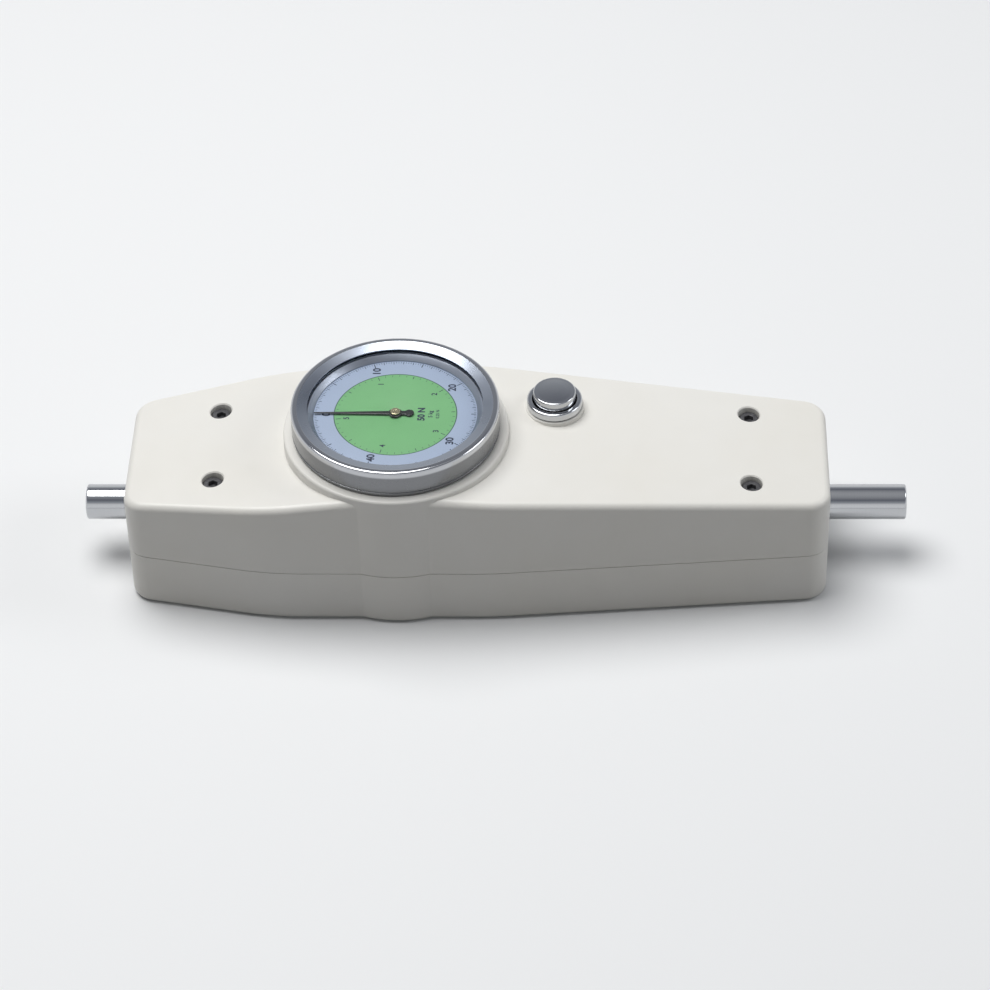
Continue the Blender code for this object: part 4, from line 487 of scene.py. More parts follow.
def dial_print(ring_colour, disc_colour, line_colour, centre, disc_radius):
    """Printed dial: a pale outer ring, a green disc and the thin line between them."""
    finish = Finish("dial_print", ring_colour, 0.0, 0.42)
    here = finish.place(centre)
    x, y, _ = finish.split(here)
    distance = (x * x + y * y) ** 0.5
    grain = finish.noise(here, 2600, 2.0)
    cloud = finish.noise(here, 60, 3.0)
    soft = 0.00005
    disc = finish.range(distance, disc_radius - soft, disc_radius + soft, 1.0, 0.0)
    line = disc - finish.range(distance, disc_radius - 0.0003, disc_radius - 0.0002, 1.0, 0.0)
    deep = dimmed(disc_colour, 0.86)
    shade = dimmed(ring_colour, 0.95)
    green = finish.colour(finish.spread(cloud, 0.0, 0.7), disc_colour, deep)
    pale = finish.colour(finish.spread(cloud, 0.0, 1.0), ring_colour, shade)
    face = finish.colour(disc, pale, green)
    finish.shade(
        Base_Color=finish.colour(line * 0.85, face, line_colour),
        Roughness=finish.spread(grain, 0.38, 0.48),
        Normal=finish.bump(grain, 0.000006, 0.3),
    )
    return finish.material


def crystal_glass(colour):
    """Clear crystal: a mirror as strong as glass reflects at each angle, and clear behind it."""
    finish = Finish("crystal_glass", colour, 1.0, 0.02)
    turned_away = finish.node("ShaderNodeLayerWeight", inputs={"Blend": 0.5}, output=1)
    wipe = finish.noise(finish.place(), 45, 4.0, 0.6)
    finish.shade(
        Alpha=turned_away ** 5.0 * 0.9 + 0.016,
        Roughness=finish.range(wipe, 0.4, 0.8, 0.015, 0.05),
    )
    return finish.material


# Sizes and colours


def length(name, description, default):
    """A length that the panel shows."""
    return FloatProperty(name=name, description=description, default=default, min=0.0,
                         precision=5, unit="LENGTH")


def hue(name, description, default):
    """A colour that the panel shows."""
    return FloatVectorProperty(name=name, description=description, default=default, size=3,
                               min=0.0, max=1.0, subtype="COLOR")


class GAUGE_PG_case(bpy.types.PropertyGroup):
    """The two shells and their screws"""

    end_half_width: length("End half width", "Half the width at both ends", 0.0222)
    middle_half_width: length("Middle half width", "Half the width beside the dial", 0.0300)
    reach_left: length("Reach left", "Full width left of the dial's middle", 0.035)
    reach_right: length("Reach right", "Full width right of the dial's middle", 0.027)
    end_height: length("End height", "Height of the roof at both ends", 0.036)
    ridge_height: length("Ridge height", "Height of the roof under the dial", 0.0452)
    corner_radius: length("Corner radius", "Radius of the corners in plan", 0.0065)
    edge_radius: length("Edge radius", "Radius of the upper and lower edges", 0.0020)
    wall: length("Wall", "Thickness of the shells", 0.003)
    pad_radius: length("Pad radius", "Radius of the round pad under the dial", 0.0315)
    pad_top: length("Pad top", "Height of the round pad", 0.0455)
    parting: length("Parting line", "Gap between the two shells", 0.00012)
    counterbore: length("Counterbore", "Depth of the screw holes", 0.0045)
    paint: hue("Paint", "Colour of the case", (0.79, 0.78, 0.745))
    screw_colour: hue("Screws", "Colour of the cap screws", (0.055, 0.055, 0.06))


class GAUGE_PG_dial(bpy.types.PropertyGroup):
    """The dial, its scales and its pointer"""

    disc_radius: length("Disc radius", "Radius of the green disc", 0.0172)
    scale_radius: length("Scale radius", "Outer ends of the outer scale's lines", 0.0225)
    number_radius: length("Number radius", "Circle of the outer numbers", 0.0192)
    inner_radius: length("Inner radius", "Circle of the inner numbers", 0.0136)
    number_size: length("Number size", "Height of the outer numbers", 0.0030)
    inner_size: length("Inner size", "Height of the inner numbers", 0.0022)
    ring_colour: hue("Ring", "Colour of the outer ring", (0.37, 0.45, 0.60))
    disc_colour: hue("Disc", "Colour of the inner disc", (0.185, 0.465, 0.20))
    ink: hue("Ink", "Colour of the lines and numbers", (0.010, 0.018, 0.045))
    pointer_colour: hue("Pointer", "Colour of the pointer", (0.008, 0.008, 0.01))


class GAUGE_PG_metal(bpy.types.PropertyGroup):
    """The bright parts"""

    chrome: hue("Chrome", "Colour of the rod and the button", (0.56, 0.57, 0.59))
    bezel: hue("Bezel", "Colour of the bezel", (0.55, 0.56, 0.585))
    # painted reflection: the slope's colour is darkened to stand in for the dark things the chrome
    # mirrors
    slope: hue("Bezel slope", "Colour of the slope inside the crest", (0.30, 0.33, 0.385))
    crest_radius: length("Crest radius", "Radius of the bezel's crest", 0.0274)
    lip_radius: length("Lip radius", "Radius of the bezel's inner edge", 0.0245)
    # painted reflection: the wall's colour is darkened to stand in for the dark surroundings it
    # mirrors
    wall_colour: hue("Bezel wall", "Colour of the bezel's satin wall", (0.22, 0.225, 0.235))
    thread_pitch: length("Thread pitch", "Pitch of the threads in the rod's ends", 0.001)
    dome: length("Crystal rise", "How far the crystal's middle rises above its edge", 0.0006)


class GAUGE_PG_stage(bpy.types.PropertyGroup):
    """The floor, the lamps and the camera"""

    floor: hue("Floor", "Colour of the floor where it is seen", (0.84, 0.85, 0.86))
    floor_bounce: hue("Floor bounce", "Colour of the floor as it lights the gauge",
                      (0.42, 0.42, 0.42))
    elevation: FloatProperty(name="Elevation", description="Height angle of the camera",
                             default=radians(42.2), subtype="ANGLE")
    azimuth: FloatProperty(name="Azimuth", description="Turn of the camera about the gauge",
                           default=radians(2.6), subtype="ANGLE")
    distance: FloatProperty(name="Distance", description="Camera to gauge", default=1.02,
                            unit="LENGTH")
    lens: FloatProperty(name="Lens", description="Focal length in millimetres", default=131.0)
    divisions: IntProperty(name="Floor divisions", description="Squares along the floor",
                           default=8)


# The case

PLAN_BEND_LEFT = 0.09
PLAN_BEND_RIGHT = 0.12
EDGE_POINTS = 13
SEAM_RADIUS = 0.00015
INNER_EDGE_RADIUS = 0.001
PAD_EDGE_RADIUS = 0.0008
DIAL_OPENING_RADIUS = 0.0215
OPENING_LOW = 0.030
OPENING_HIGH = 0.060
BUTTON_HOLE_RADIUS = 0.0075
BUTTON_PAD_RADIUS = 0.0082
BUTTON_PAD_HEIGHT = 0.003
BUTTON_PAD_EDGE_RADIUS = 0.0004
CUP_ABOVE_PAD = 0.0025
BUSH_HOLE_RADIUS = 0.007
BUSH_HOLE_DEPTH = 0.006
BUSH_HOLE_CHAMFER = 0.0003
COUNTERBORE_RADIUS = 0.00305
FLARE_WIDE = 0.00035
FLARE_NARROW = 0.0004
FLARE_DEPTH = 0.0008
FLARE_LIFT = 0.00005
POST_WALL = 0.0013
POST_FOOT = 0.001
SCREW_HOLE_RADIUS = 0.0018
THREAD_RADIUS = 0.00165
THREAD_FLOOR = 0.008
STAND_HOLE_RADIUS = 0.0021
STAND_MOUTH_RADIUS = 0.0026
STAND_HOLE_DEPTH = 0.008
STAND_HOLE_TIP = 0.0088
STAND_POST_RADIUS = 0.004
STAND_POST_TOP = 0.0099
STAND_FROM_DIAL = 0.007
STAND_HALF_LENGTH = 0.025
STAND_HALF_WIDTH = 0.013
SHORT_OVERRUN = 0.001
OVERRUN = 0.002
ROOF_OVERRUN = 0.003


def roof(x, case, drop=0.0):
    """Height of the roof: highest at the dial, falling straight to both ends."""
    left = (DIAL_X - x) / (DIAL_X - CASE_LEFT)
    right = (x - DIAL_X) / (CASE_RIGHT - DIAL_X)
    rise = (case.end_height - case.ridge_height) * np.maximum(left, right)
    return case.ridge_height + rise - drop


def case_plan(case, count=360):
    """The plan of the case, once round: straight tapers from the middle to both ends, with
    rounded corners, the same on both sides of the rod."""
    end, middle = case.end_half_width, case.middle_half_width
    left, right = DIAL_X - case.reach_left, DIAL_X + case.reach_right
    corners = [(CASE_LEFT, 0), (CASE_LEFT, -end), (left, -middle), (right, -middle),
               (CASE_RIGHT, -end), (CASE_RIGHT, 0), (CASE_RIGHT, end), (CASE_LEFT, end)]
    corner = case.corner_radius
    steps, front_corners = 16, 6
    radii = [0, corner, PLAN_BEND_LEFT, PLAN_BEND_RIGHT, corner, 0, 0, 0]
    outline = softened(corners, radii, steps)
    front = resampled(outline[:(steps + 1) * front_corners], count)
    back = front[-2:0:-1] * [1, -1]
    return np.concatenate([front, back])


def inset(plan, depth):
    """The plan moved inwards, square to itself."""
    ahead = np.roll(plan, -1, axis=0) - np.roll(plan, 1, axis=0)
    ahead /= np.linalg.norm(ahead, axis=1, keepdims=True)
    return plan + np.stack([-ahead[:, 1], ahead[:, 0]], axis=1) * depth


def case_block(case, low, low_edge, edge, shrink=0.0, drop=0.0, high=None):
    """The case as one surface: from the middle of its floor out to the side, up it, and over the
    rounded edge in to the middle of the roof. Each ring is the plan, moved inwards, at a height."""
    plan = case_plan(case)
    turn = np.linspace(0, pi / 2, EDGE_POINTS)
    reach = case.end_half_width
    spine = np.stack([np.clip(plan[:, 0], CASE_LEFT + reach, CASE_RIGHT - reach),
                      0 * plan[:, 0]], axis=1)

    def ring(depth, height):
        return np.column_stack([inset(plan, shrink + depth), height])

    def top_at(xy):
        return roof(xy[:, 0], case, drop) if high is None else np.full(len(xy), high)

    rings = [np.column_stack([spine, np.full(len(plan), low)])]
    for a in turn:
        depth = low_edge * (1 - np.sin(a))
        rings.append(ring(depth, np.full(len(plan), low + low_edge * (1 - np.cos(a)))))
    for a in turn:
        depth = edge * (1 - np.cos(a))
        top = top_at(inset(plan, shrink + depth))
        rings.append(ring(depth, top - edge * (1 - np.sin(a))))
    rings.append(np.column_stack([spine, top_at(spine)]))
    return net(np.stack(rings, axis=1))


def screw_places():
    """The four case screws, from the frame."""
    boxes = [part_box(f"case_screw_{number}") for number in range(1, 5)]
    return [((low.x + high.x) / 2, (low.y + high.y) / 2) for low, high in boxes]


def end_bores():
    """Cutters for the bushes in both end walls, each with a small chamfer outside."""
    radius, wide = BUSH_HOLE_RADIUS, BUSH_HOLE_RADIUS + BUSH_HOLE_CHAMFER
    profile = [(0, -BUSH_HOLE_DEPTH), (radius, -BUSH_HOLE_DEPTH), (radius, -BUSH_HOLE_CHAMFER),
               (wide, 0), (wide, OVERRUN), (0, OVERRUN)]
    return gathered(solid_of(profile, ROUND, (CASE_RIGHT, 0, ROD_AXIS), "X"),
                    solid_of(profile, ROUND, (CASE_LEFT, 0, ROD_AXIS), "-X"))


def tilted(form, place, case):
    """A form made about the Z axis, tilted square to the roof at a place."""
    points, faces = form
    x, y = place
    step = 0.001
    slope = (roof(x + step, case) - roof(x - step, case)) / (2 * step)
    turn = Matrix.Rotation(-np.arctan(slope), 3, "Y")
    return points @ np.array(turn.transposed()) + np.array([x, y, roof(x, case)]), faces


class GAUGE_OT_case(bpy.types.Operator):
    """Make the front and rear shells"""

    bl_idname = "gauge.case"
    bl_label = "Case"

    def execute(self, context):
        case = context.scene.gauge_case
        paint = case_paint(tuple(case.paint))
        self.front(case, paint)
        self.rear(case, paint)
        return {"FINISHED"}

    def front(self, case, paint):
        """The front shell: roof, pad, button pad, dial opening and four counterbores."""
        split = ROD_AXIS + case.parting / 2
        block = case_block(case, split, SEAM_RADIUS, case.edge_radius)
        pad = softened([(0, split), (case.pad_radius, split), (case.pad_radius, case.pad_top),
                        (0, case.pad_top)], [0, SEAM_RADIUS, PAD_EDGE_RADIUS, 0], 8)
        hollow = case_block(case, split - SHORT_OVERRUN, 0.0, INNER_EDGE_RADIUS, case.wall,
                            case.wall)
        wide = COUNTERBORE_RADIUS + FLARE_WIDE
        flare = [(0, -FLARE_DEPTH), (COUNTERBORE_RADIUS - FLARE_NARROW, -FLARE_DEPTH),
                 (wide, FLARE_LIFT), (wide, OVERRUN), (0, OVERRUN)]
        posts, bores, flares = [], [], []
        for x, y in screw_places():
            top = roof(x, case)
            post = COUNTERBORE_RADIUS + POST_WALL
            posts.append(cylinder(post, split, top - case.wall / 2, (x, y, 0)))
            floor = top - case.counterbore
            bore = [(0, split - OVERRUN), (SCREW_HOLE_RADIUS, split - OVERRUN),
                    (SCREW_HOLE_RADIUS, floor), (COUNTERBORE_RADIUS, floor),
                    (COUNTERBORE_RADIUS, top + ROOF_OVERRUN), (0, top + ROOF_OVERRUN)]
            bores.append(solid_of(bore, SMALL, (x, y, 0)))
            flares.append(tilted(solid_of(flare, SMALL, (0, 0, 0)), (x, y), case))
        for radius, centre in ((DIAL_OPENING_RADIUS, (DIAL_X, 0, 0)),
                               (BUTTON_HOLE_RADIUS, (BUTTON_X, BUTTON_Y, 0))):
            bores.append(cylinder(radius, OPENING_LOW, OPENING_HIGH, centre, ROUND))
        bores.append(end_bores())
        mesh = carved("front_case", block,
                      ("UNION", solid_of(pad, FINE, (DIAL_X, 0, 0))),
                      ("DIFFERENCE", hollow),
                      ("UNION", gathered(self.button_pad(), *posts)),
                      ("DIFFERENCE", gathered(*bores)),
                      ("DIFFERENCE", gathered(*flares)))
        show("front_case", mesh, paint, "case", ["front_shell"])

    def button_pad(self):
        """The round pad under the button, with a rounded edge."""
        top = CUP_HIGH.z - CUP_ABOVE_PAD
        low, reach = top - BUTTON_PAD_HEIGHT, BUTTON_PAD_RADIUS
        profile = softened([(0, low), (reach, low), (reach, top), (0, top)],
                           [0, 0, BUTTON_PAD_EDGE_RADIUS, 0], 6)
        return solid_of(profile, ROUND, (BUTTON_X, BUTTON_Y, 0))

    def rear(self, case, paint):
        """The rear shell: a tray with rounded lower edges and four holes for a stand."""
        split = ROD_AXIS - case.parting / 2
        edge = case.edge_radius
        block = case_block(case, 0.0, edge, SEAM_RADIUS, high=split)
        pad = softened([(0, 0), (case.pad_radius, 0), (case.pad_radius, split), (0, split)],
                       [0, edge, SEAM_RADIUS, 0], 12)
        hollow = case_block(case, case.wall, INNER_EDGE_RADIUS, 0.0, case.wall,
                            high=split + SHORT_OVERRUN)
        posts, bores = [], []
        for x, y in screw_places():
            post = COUNTERBORE_RADIUS + POST_WALL
            posts.append(cylinder(post, POST_FOOT, split, (x, y, 0)))
            bores.append(cylinder(THREAD_RADIUS, THREAD_FLOOR, split + SHORT_OVERRUN, (x, y, 0)))
        chamfer = STAND_MOUTH_RADIUS - STAND_HOLE_RADIUS
        hole = [(0, -SHORT_OVERRUN), (STAND_MOUTH_RADIUS, -SHORT_OVERRUN),
                (STAND_MOUTH_RADIUS, 0), (STAND_HOLE_RADIUS, chamfer),
                (STAND_HOLE_RADIUS, STAND_HOLE_DEPTH), (0, STAND_HOLE_TIP)]
        middle = DIAL_X + STAND_FROM_DIAL
        for x in (middle - STAND_HALF_LENGTH, middle + STAND_HALF_LENGTH):
            for y in (-STAND_HALF_WIDTH, STAND_HALF_WIDTH):
                posts.append(cylinder(STAND_POST_RADIUS, POST_FOOT, STAND_POST_TOP, (x, y, 0)))
                bores.append(solid_of(hole, SMALL, (x, y, 0)))
        bores.append(end_bores())
        mesh = carved("rear_case", block,
                      ("UNION", solid_of(pad, FINE, (DIAL_X, 0, 0))),
                      ("DIFFERENCE", hollow),
                      ("UNION", gathered(*posts)),
                      ("DIFFERENCE", gathered(*bores)))
        show("rear_case", mesh, paint, "case", ["rear_shell"])


class GAUGE_OT_screws(bpy.types.Operator):
    """Make the four cap screws of the case"""

    bl_idname = "gauge.screws"
    bl_label = "Case screws"

    def execute(self, context):
        case = context.scene.gauge_case
        finish = soft_black("screw_black", tuple(case.screw_colour), 0.42, 1400, 0.00001, 0.5)
        for number, (x, y) in enumerate(screw_places(), 1):
            low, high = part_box(f"case_screw_{number}")
            mesh = mesh_of("cap_screw", moved(self.cap_screw(high.z - low.z), (x, y, low.z)))
            show(f"cap_screw_{number}", mesh, finish, "case", [f"case_screw_{number}"])
        return {"FINISHED"}

    def cap_screw(self, height):
        """A cap screw: a six-sided socket, a knurled head and a long shank. A ring's radius is
        round, six-sided (flat distance over the cosine of the angle from the flat's middle), or
        round with a fine wave for the knurl."""
        sides = 96
        angle = np.linspace(0, 2 * pi, sides, endpoint=False)[:, None]
        flat = (angle + pi / 6) % (pi / 3) - pi / 6
        socket, depth, wave, teeth = 0.00125, 0.0014, 0.012, 32
        six = socket / np.cos(flat)
        knurl = 1 - wave * (1 + np.cos(angle * teeth))
        head, rim, shank, tip = 0.0028, 0.00275, 0.0015, 0.0006
        radii = [0, 1, 1, 1.12, 0.00235, 0.00262, rim, rim, shank, shank, 0.0011, 0]
        heights = [height - depth, height - depth, height - 0.0001, height, height,
                   height - 0.0001, height - 0.0003, height - head, height - head, tip, 0, 0]
        columns = []
        for number, radius in enumerate(radii):
            if number in (1, 2, 3):
                columns.append(six * radius)
            elif number in (6, 7):
                columns.append(radius * knurl)
            else:
                columns.append(np.full_like(angle, radius))
        return spun(np.concatenate(columns, axis=1), np.array(heights), sides)


# The rod and its bushes


class GAUGE_OT_rod(bpy.types.Operator):
    """Make the measuring rod, its bushes and its wiper rings"""

    bl_idname = "gauge.rod"
    bl_label = "Rod and bushes"

    def execute(self, context):
        metal = context.scene.gauge_metal
        axis = (0, 0, ROD_AXIS)
        chrome = turned_metal("rod_chrome", tuple(metal.chrome), 0.07, axis, "X", 0.3, 0.05)
        show("chromed_rod", mesh_of("chromed_rod", self.rod(metal.thread_pitch)), chrome, "rod",
             ["measuring_rod"])
        steel = turned_metal("bush_steel", (0.52, 0.53, 0.55), 0.24, axis, "X", 0.5)
        felt = soft_black("felt", (0.022, 0.021, 0.02), 0.92, 2400, 0.00012, 0.9)
        for side, turned in (("left", "-X"), ("right", "X")):
            self.bush(side, turned, steel)
            self.wiper(side, turned, felt)
        return {"FINISHED"}

    def rod(self, pitch):
        """The rod: chamfered ends, and in each end a threaded hole whose radius waves with the
        place along the hole less the share of a turn, as a screw thread does."""
        half = ROD_HIGH.x
        depth, bore, tooth, rim = 0.010, 0.00250, 0.00045, 0.0031
        chamfer, margin, straight = 0.0006, 0.0004, 0.004
        steps, per_turn = 6, 12
        mouth = half - chamfer
        floor = half - depth
        inner = np.linspace(floor + margin, mouth - margin, int(depth / pitch) * per_turn)
        angle = np.linspace(0, 2 * pi, ROUND, endpoint=False)[:, None]
        phase = (inner[None, :] / pitch - angle / (2 * pi)) % 1
        thread = bore + tooth * np.abs(2 * phase - 1)
        edge = softened([(rim, half), (ROD_RADIUS, half), (ROD_RADIUS, half - straight),
                         (rim, half - straight)], [0.00005, chamfer, 0, 0], steps)
        edge = edge[:2 * (steps + 1)]

        def plain(values):
            """The same row of values for every side."""
            return np.broadcast_to(np.array(values), (ROUND, len(values)))

        radius = np.concatenate([plain([0, 0.0012, bore]), thread, plain([bore + 0.0001, rim]),
                                 plain(edge[:, 0])], axis=1)
        along = np.concatenate([[floor - 0.001, floor - margin, floor], inner, [mouth, half],
                                edge[:, 1]])
        mirror = np.concatenate([radius, radius[:, ::-1]], axis=1)
        return moved(spun(mirror, np.concatenate([along, -along[::-1]]), ROUND), (0, 0, ROD_AXIS),
                     "X")

    def bush(self, side, turned, finish):
        """A bush: a rounded rim outside the wall, a collar inside it, a plain bore."""
        low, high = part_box(f"rod_bush_{side}")
        proud, near, far, shelf = 0.0006, -0.0033, -0.0063, -0.0011
        end = -(high.x - low.x - proud)
        inner, outer, collar = ROD_RADIUS + 0.00015, 0.00685, 0.00845
        pocket = ROD_RADIUS + 0.001
        corners = [(pocket, proud), (outer, proud), (outer, near), (collar, near), (collar, far),
                   (outer, far), (outer, end), (inner, end), (inner, shelf), (pocket, shelf)]
        radii = [0.0001, 0.0003, 0, 0.0002, 0.0002, 0, 0.0002, 0.0002, 0, 0]
        wall = CASE_LEFT if side == "left" else CASE_RIGHT
        ring = ring_of(softened(corners, radii, 4), ROUND, (wall, 0, ROD_AXIS), turned)
        show(f"bush_{side}", mesh_of("bush", ring), finish, "case", [f"rod_bush_{side}"])

    def wiper(self, side, turned, finish):
        """A felt ring with a full round section."""
        inner, outer = ROD_RADIUS + 0.0003, ROD_RADIUS + 0.0007
        corners = [(outer, 0.0005), (outer, -0.0009), (inner, -0.0009), (inner, 0.0005)]
        wall = CASE_LEFT if side == "left" else CASE_RIGHT
        ring = ring_of(softened(corners, [0.00018] * 4, 4), ROUND, (wall, 0, ROD_AXIS), turned)
        show(f"wiper_{side}", mesh_of("wiper", ring), finish, "case", [f"rod_wiper_{side}"])


# Bezel, crystal and dial

OUTER_PARTS = 200
INNER_PARTS = 51
PRINT_SINK = 0.00001


class GAUGE_OT_bezel(bpy.types.Operator):
    """Make the bezel and the crystal"""

    bl_idname = "gauge.bezel"
    bl_label = "Bezel and crystal"

    def execute(self, context):
        metal = context.scene.gauge_metal
        finish = bezel_metal(tuple(metal.bezel), tuple(metal.slope), tuple(metal.wall_colour),
                             (DIAL_X, 0, 0), metal.crest_radius, BEZEL_HIGH.z)
        outer = BEZEL_HIGH.x - DIAL_X
        low, top = BEZEL_LOW.z, BEZEL_HIGH.z
        skirt, bore, lip = 0.0268, 0.0255, metal.lip_radius
        lip_top, lip_bottom = CRYSTAL_HIGH.z + 0.0005, CRYSTAL_HIGH.z + 0.0003
        groove, step = outer - 0.0002, low + 0.0019
        corners = [(skirt, low), (outer, low), (outer, low + 0.0009), (groove, low + 0.001),
                   (groove, low + 0.0013), (outer, low + 0.0014), (outer, top),
                   (metal.crest_radius, top), (lip, lip_top), (lip, lip_bottom),
                   (bore, lip_bottom), (bore, step), (skirt, step)]
        radii = [0, 0.0003, 0.00008, 0, 0, 0.00008, 0.0013, 0.0005, 0.00008, 0, 0, 0, 0]
        ring = ring_of(softened(corners, radii, 10), FINE, (DIAL_X, 0, 0))
        show("bezel_ring", mesh_of("bezel_ring", ring), finish, "bezel", ["bezel"])
        self.spacer()
        self.crystal(metal)
        return {"FINISHED"}

    def spacer(self):
        """The ring that holds the crystal off the dial, with a slope down to the dial's scale."""
        _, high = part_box("crystal_gasket")
        inner, crest, outer = 0.0228, 0.0243, high.x - DIAL_X
        foot, rim = DIAL_HIGH.z + 0.0001, CRYSTAL_LOW.z - 0.00005
        corners = [(inner, foot), (outer, foot), (outer, rim), (crest, rim),
                   (inner, DIAL_HIGH.z + 0.0003)]
        ring = ring_of(softened(corners, [0, 0, 0.0001, 0.0001, 0.0001], 3), FINE, (DIAL_X, 0, 0))
        finish = turned_metal("spacer_satin", (0.34, 0.37, 0.43), 0.34, (DIAL_X, 0, 0), "Z", 0.6)
        show("crystal_spacer", mesh_of("crystal_spacer", ring), finish, "bezel",
             ["crystal_gasket"])

    def crystal(self, metal):
        """The crystal: flat below, and above a shallow dome whose height falls with the square
        of the distance from its middle."""
        edge = CRYSTAL_HIGH.x - DIAL_X
        bottom, top = CRYSTAL_LOW.z, CRYSTAL_HIGH.z
        inside = metal.lip_radius - 0.0003
        radius = np.linspace(0, inside, 24)
        dome = top + metal.dome * (1 - (radius / inside) ** 2)
        profile = np.concatenate([
            np.stack([radius, dome], axis=1),
            [(edge, top), (edge, bottom), (inside, bottom), (0, bottom)],
        ])
        form = solid_of(profile, ROUND, (DIAL_X, 0, 0))
        show("clear_crystal", mesh_of("clear_crystal", form), crystal_glass((0.93, 0.95, 0.97)),
             "bezel", ["crystal"])


def boxes_round(angle, inner, outer, width, low, high, centre):
    """Thin boxes round a dial: for each angle one from the inner to the outer radius, of a width,
    whose corners are the radius along the spoke plus half the width square to it."""
    shape = len(angle)
    spoke = np.stack([np.cos(angle), np.sin(angle), 0 * angle], axis=1)
    side = np.stack([-np.sin(angle), np.cos(angle), 0 * angle], axis=1)
    corners = []
    for height in (low, high):
        for reach, sign in ((inner, -1), (outer, -1), (outer, 1), (inner, 1)):
            reach = np.broadcast_to(reach, shape)[:, None]
            half = np.broadcast_to(width, shape)[:, None] / 2 * sign
            corners.append(spoke * reach + side * half + np.array([0, 0, height]))
    points = np.stack(corners, axis=1) + np.array(centre)
    quads = np.array([(0, 3, 2, 1), (4, 5, 6, 7), (0, 1, 5, 4), (1, 2, 6, 5), (2, 3, 7, 6),
                      (3, 0, 4, 7)])
    faces = quads[None] + 8 * np.arange(shape)[:, None, None]
    return points.reshape(-1, 3), faces.reshape(-1, 4)


def lettering(name, items, low, thickness):
    """One mesh of several short texts, each (text, size, place, weight), read with the left end
    of the case upwards."""
    whole = bmesh.new()
    for text, size, place, weight in items:
        curve = bpy.data.curves.new(name, "FONT")
        curve.body = text
        curve.size = size
        curve.align_x = "CENTER"
        curve.align_y = "CENTER"
        curve.offset = weight
        curve.extrude = thickness / 2
        thing = bpy.data.objects.new(name, curve)
        bpy.context.scene.collection.objects.link(thing)
        bpy.context.view_layer.update()
        graph = bpy.context.evaluated_depsgraph_get()
        mesh = bpy.data.meshes.new_from_object(thing.evaluated_get(graph))
        turn = Matrix(((0, -1, 0, place[0]), (1, 0, 0, place[1]),
                       (0, 0, 1, low + thickness / 2), (0, 0, 0, 1)))
        mesh.transform(turn)
        whole.from_mesh(mesh)
        bpy.data.objects.remove(thing, do_unlink=True)
        bpy.data.meshes.remove(mesh)
    bmesh.ops.remove_doubles(whole, verts=whole.verts, dist=WELD)
    mesh = bpy.data.meshes.new(name)
    whole.to_mesh(mesh)
    whole.free()
    return mesh


class GAUGE_OT_dial(bpy.types.Operator):
    """Make the dial plate, its scale lines and its numbers"""

    bl_idname = "gauge.dial"
    bl_label = "Dial"

    def execute(self, context):
        dial = context.scene.gauge_dial
        edge = DIAL_HIGH.x - DIAL_X
        low, top = DIAL_LOW.z, DIAL_HIGH.z
        hole = 0.0013
        corners = [(hole, low), (edge, low), (edge, top), (hole, top)]
        plate = ring_of(softened(corners, [0, 0.0001, 0.0001, 0.0001], 3), FINE, (DIAL_X, 0, 0))
        finish = dial_print(tuple(dial.ring_colour), tuple(dial.disc_colour), tuple(dial.ink),
                            (DIAL_X, 0, 0), dial.disc_radius)
        show("printed_dial", mesh_of("printed_dial", plate), finish, "bezel", ["dial_plate"])
        ink = soft_black("dial_ink", tuple(dial.ink), 0.5, 3000, 0.000004, 0.3)
        self.lines(dial, top, ink)
        self.numbers(dial, top, ink)
        return {"FINISHED"}

    def lines(self, dial, top, ink):
        """Two hundred lines on the pale ring, every fourth, twentieth and fortieth one longer,
        and the inner scale on the green disc, of which 51 parts make one turn."""
        low, high = top - PRINT_SINK, top + 0.00002
        centre = (DIAL_X, 0, 0)
        step = np.arange(OUTER_PARTS)
        angle = pi - 2 * pi * step / OUTER_PARTS
        reach = np.select([step % 40 == 0, step % 20 == 0, step % 4 == 0],
                          [0.0017, 0.0014, 0.0010], 0.0006)
        width = np.select([step % 20 == 0, step % 4 == 0], [0.00024, 0.00017], 0.00011)
        outer = boxes_round(angle, dial.scale_radius - reach, dial.scale_radius, width, low, high,
                            centre)
        part = np.arange(INNER_PARTS)
        angle = pi - 2 * pi * part / INNER_PARTS
        reach = np.select([part % 10 == 0, part % 5 == 0], [0.0014, 0.0010], 0.0006)
        width = np.select([part % 5 == 0], [0.00018], 0.00010)
        start = dial.disc_radius - 0.0006
        inner = boxes_round(angle, start - reach, start, width, low, high, centre)
        show("scale_lines", mesh_of("scale_lines", gathered(outer, inner)), ink, "bezel")

    def numbers(self, dial, top, ink):
        """Numbers of both scales, the range in both units and the value of one part, upright
        with the left end of the case up."""
        items = []
        for number in range(5):
            angle = pi - radians(72) * number
            place = (DIAL_X + dial.number_radius * np.cos(angle),
                     dial.number_radius * np.sin(angle))
            items.append((str(number * 10), dial.number_size, place, 0.00009))
        for number in range(1, 6):
            angle = pi - 2 * pi * number * 10 / INNER_PARTS
            place = (DIAL_X + dial.inner_radius * np.cos(angle),
                     dial.inner_radius * np.sin(angle))
            items.append((str(number), dial.inner_size, place, 0.00005))
        for text, size, reach, weight in (("50 N", 0.0027, 0.0073, 0.00011),
                                          ("5 kg", 0.0017, 0.0098, 0.00004),
                                          ("0.25 N", 0.0013, 0.0118, 0.00002)):
            items.append((text, size, (DIAL_X + reach, 0), weight))
        mesh = lettering("dial_numbers", items, top - PRINT_SINK, 0.00003)
        show("dial_numbers", mesh, ink, "bezel")


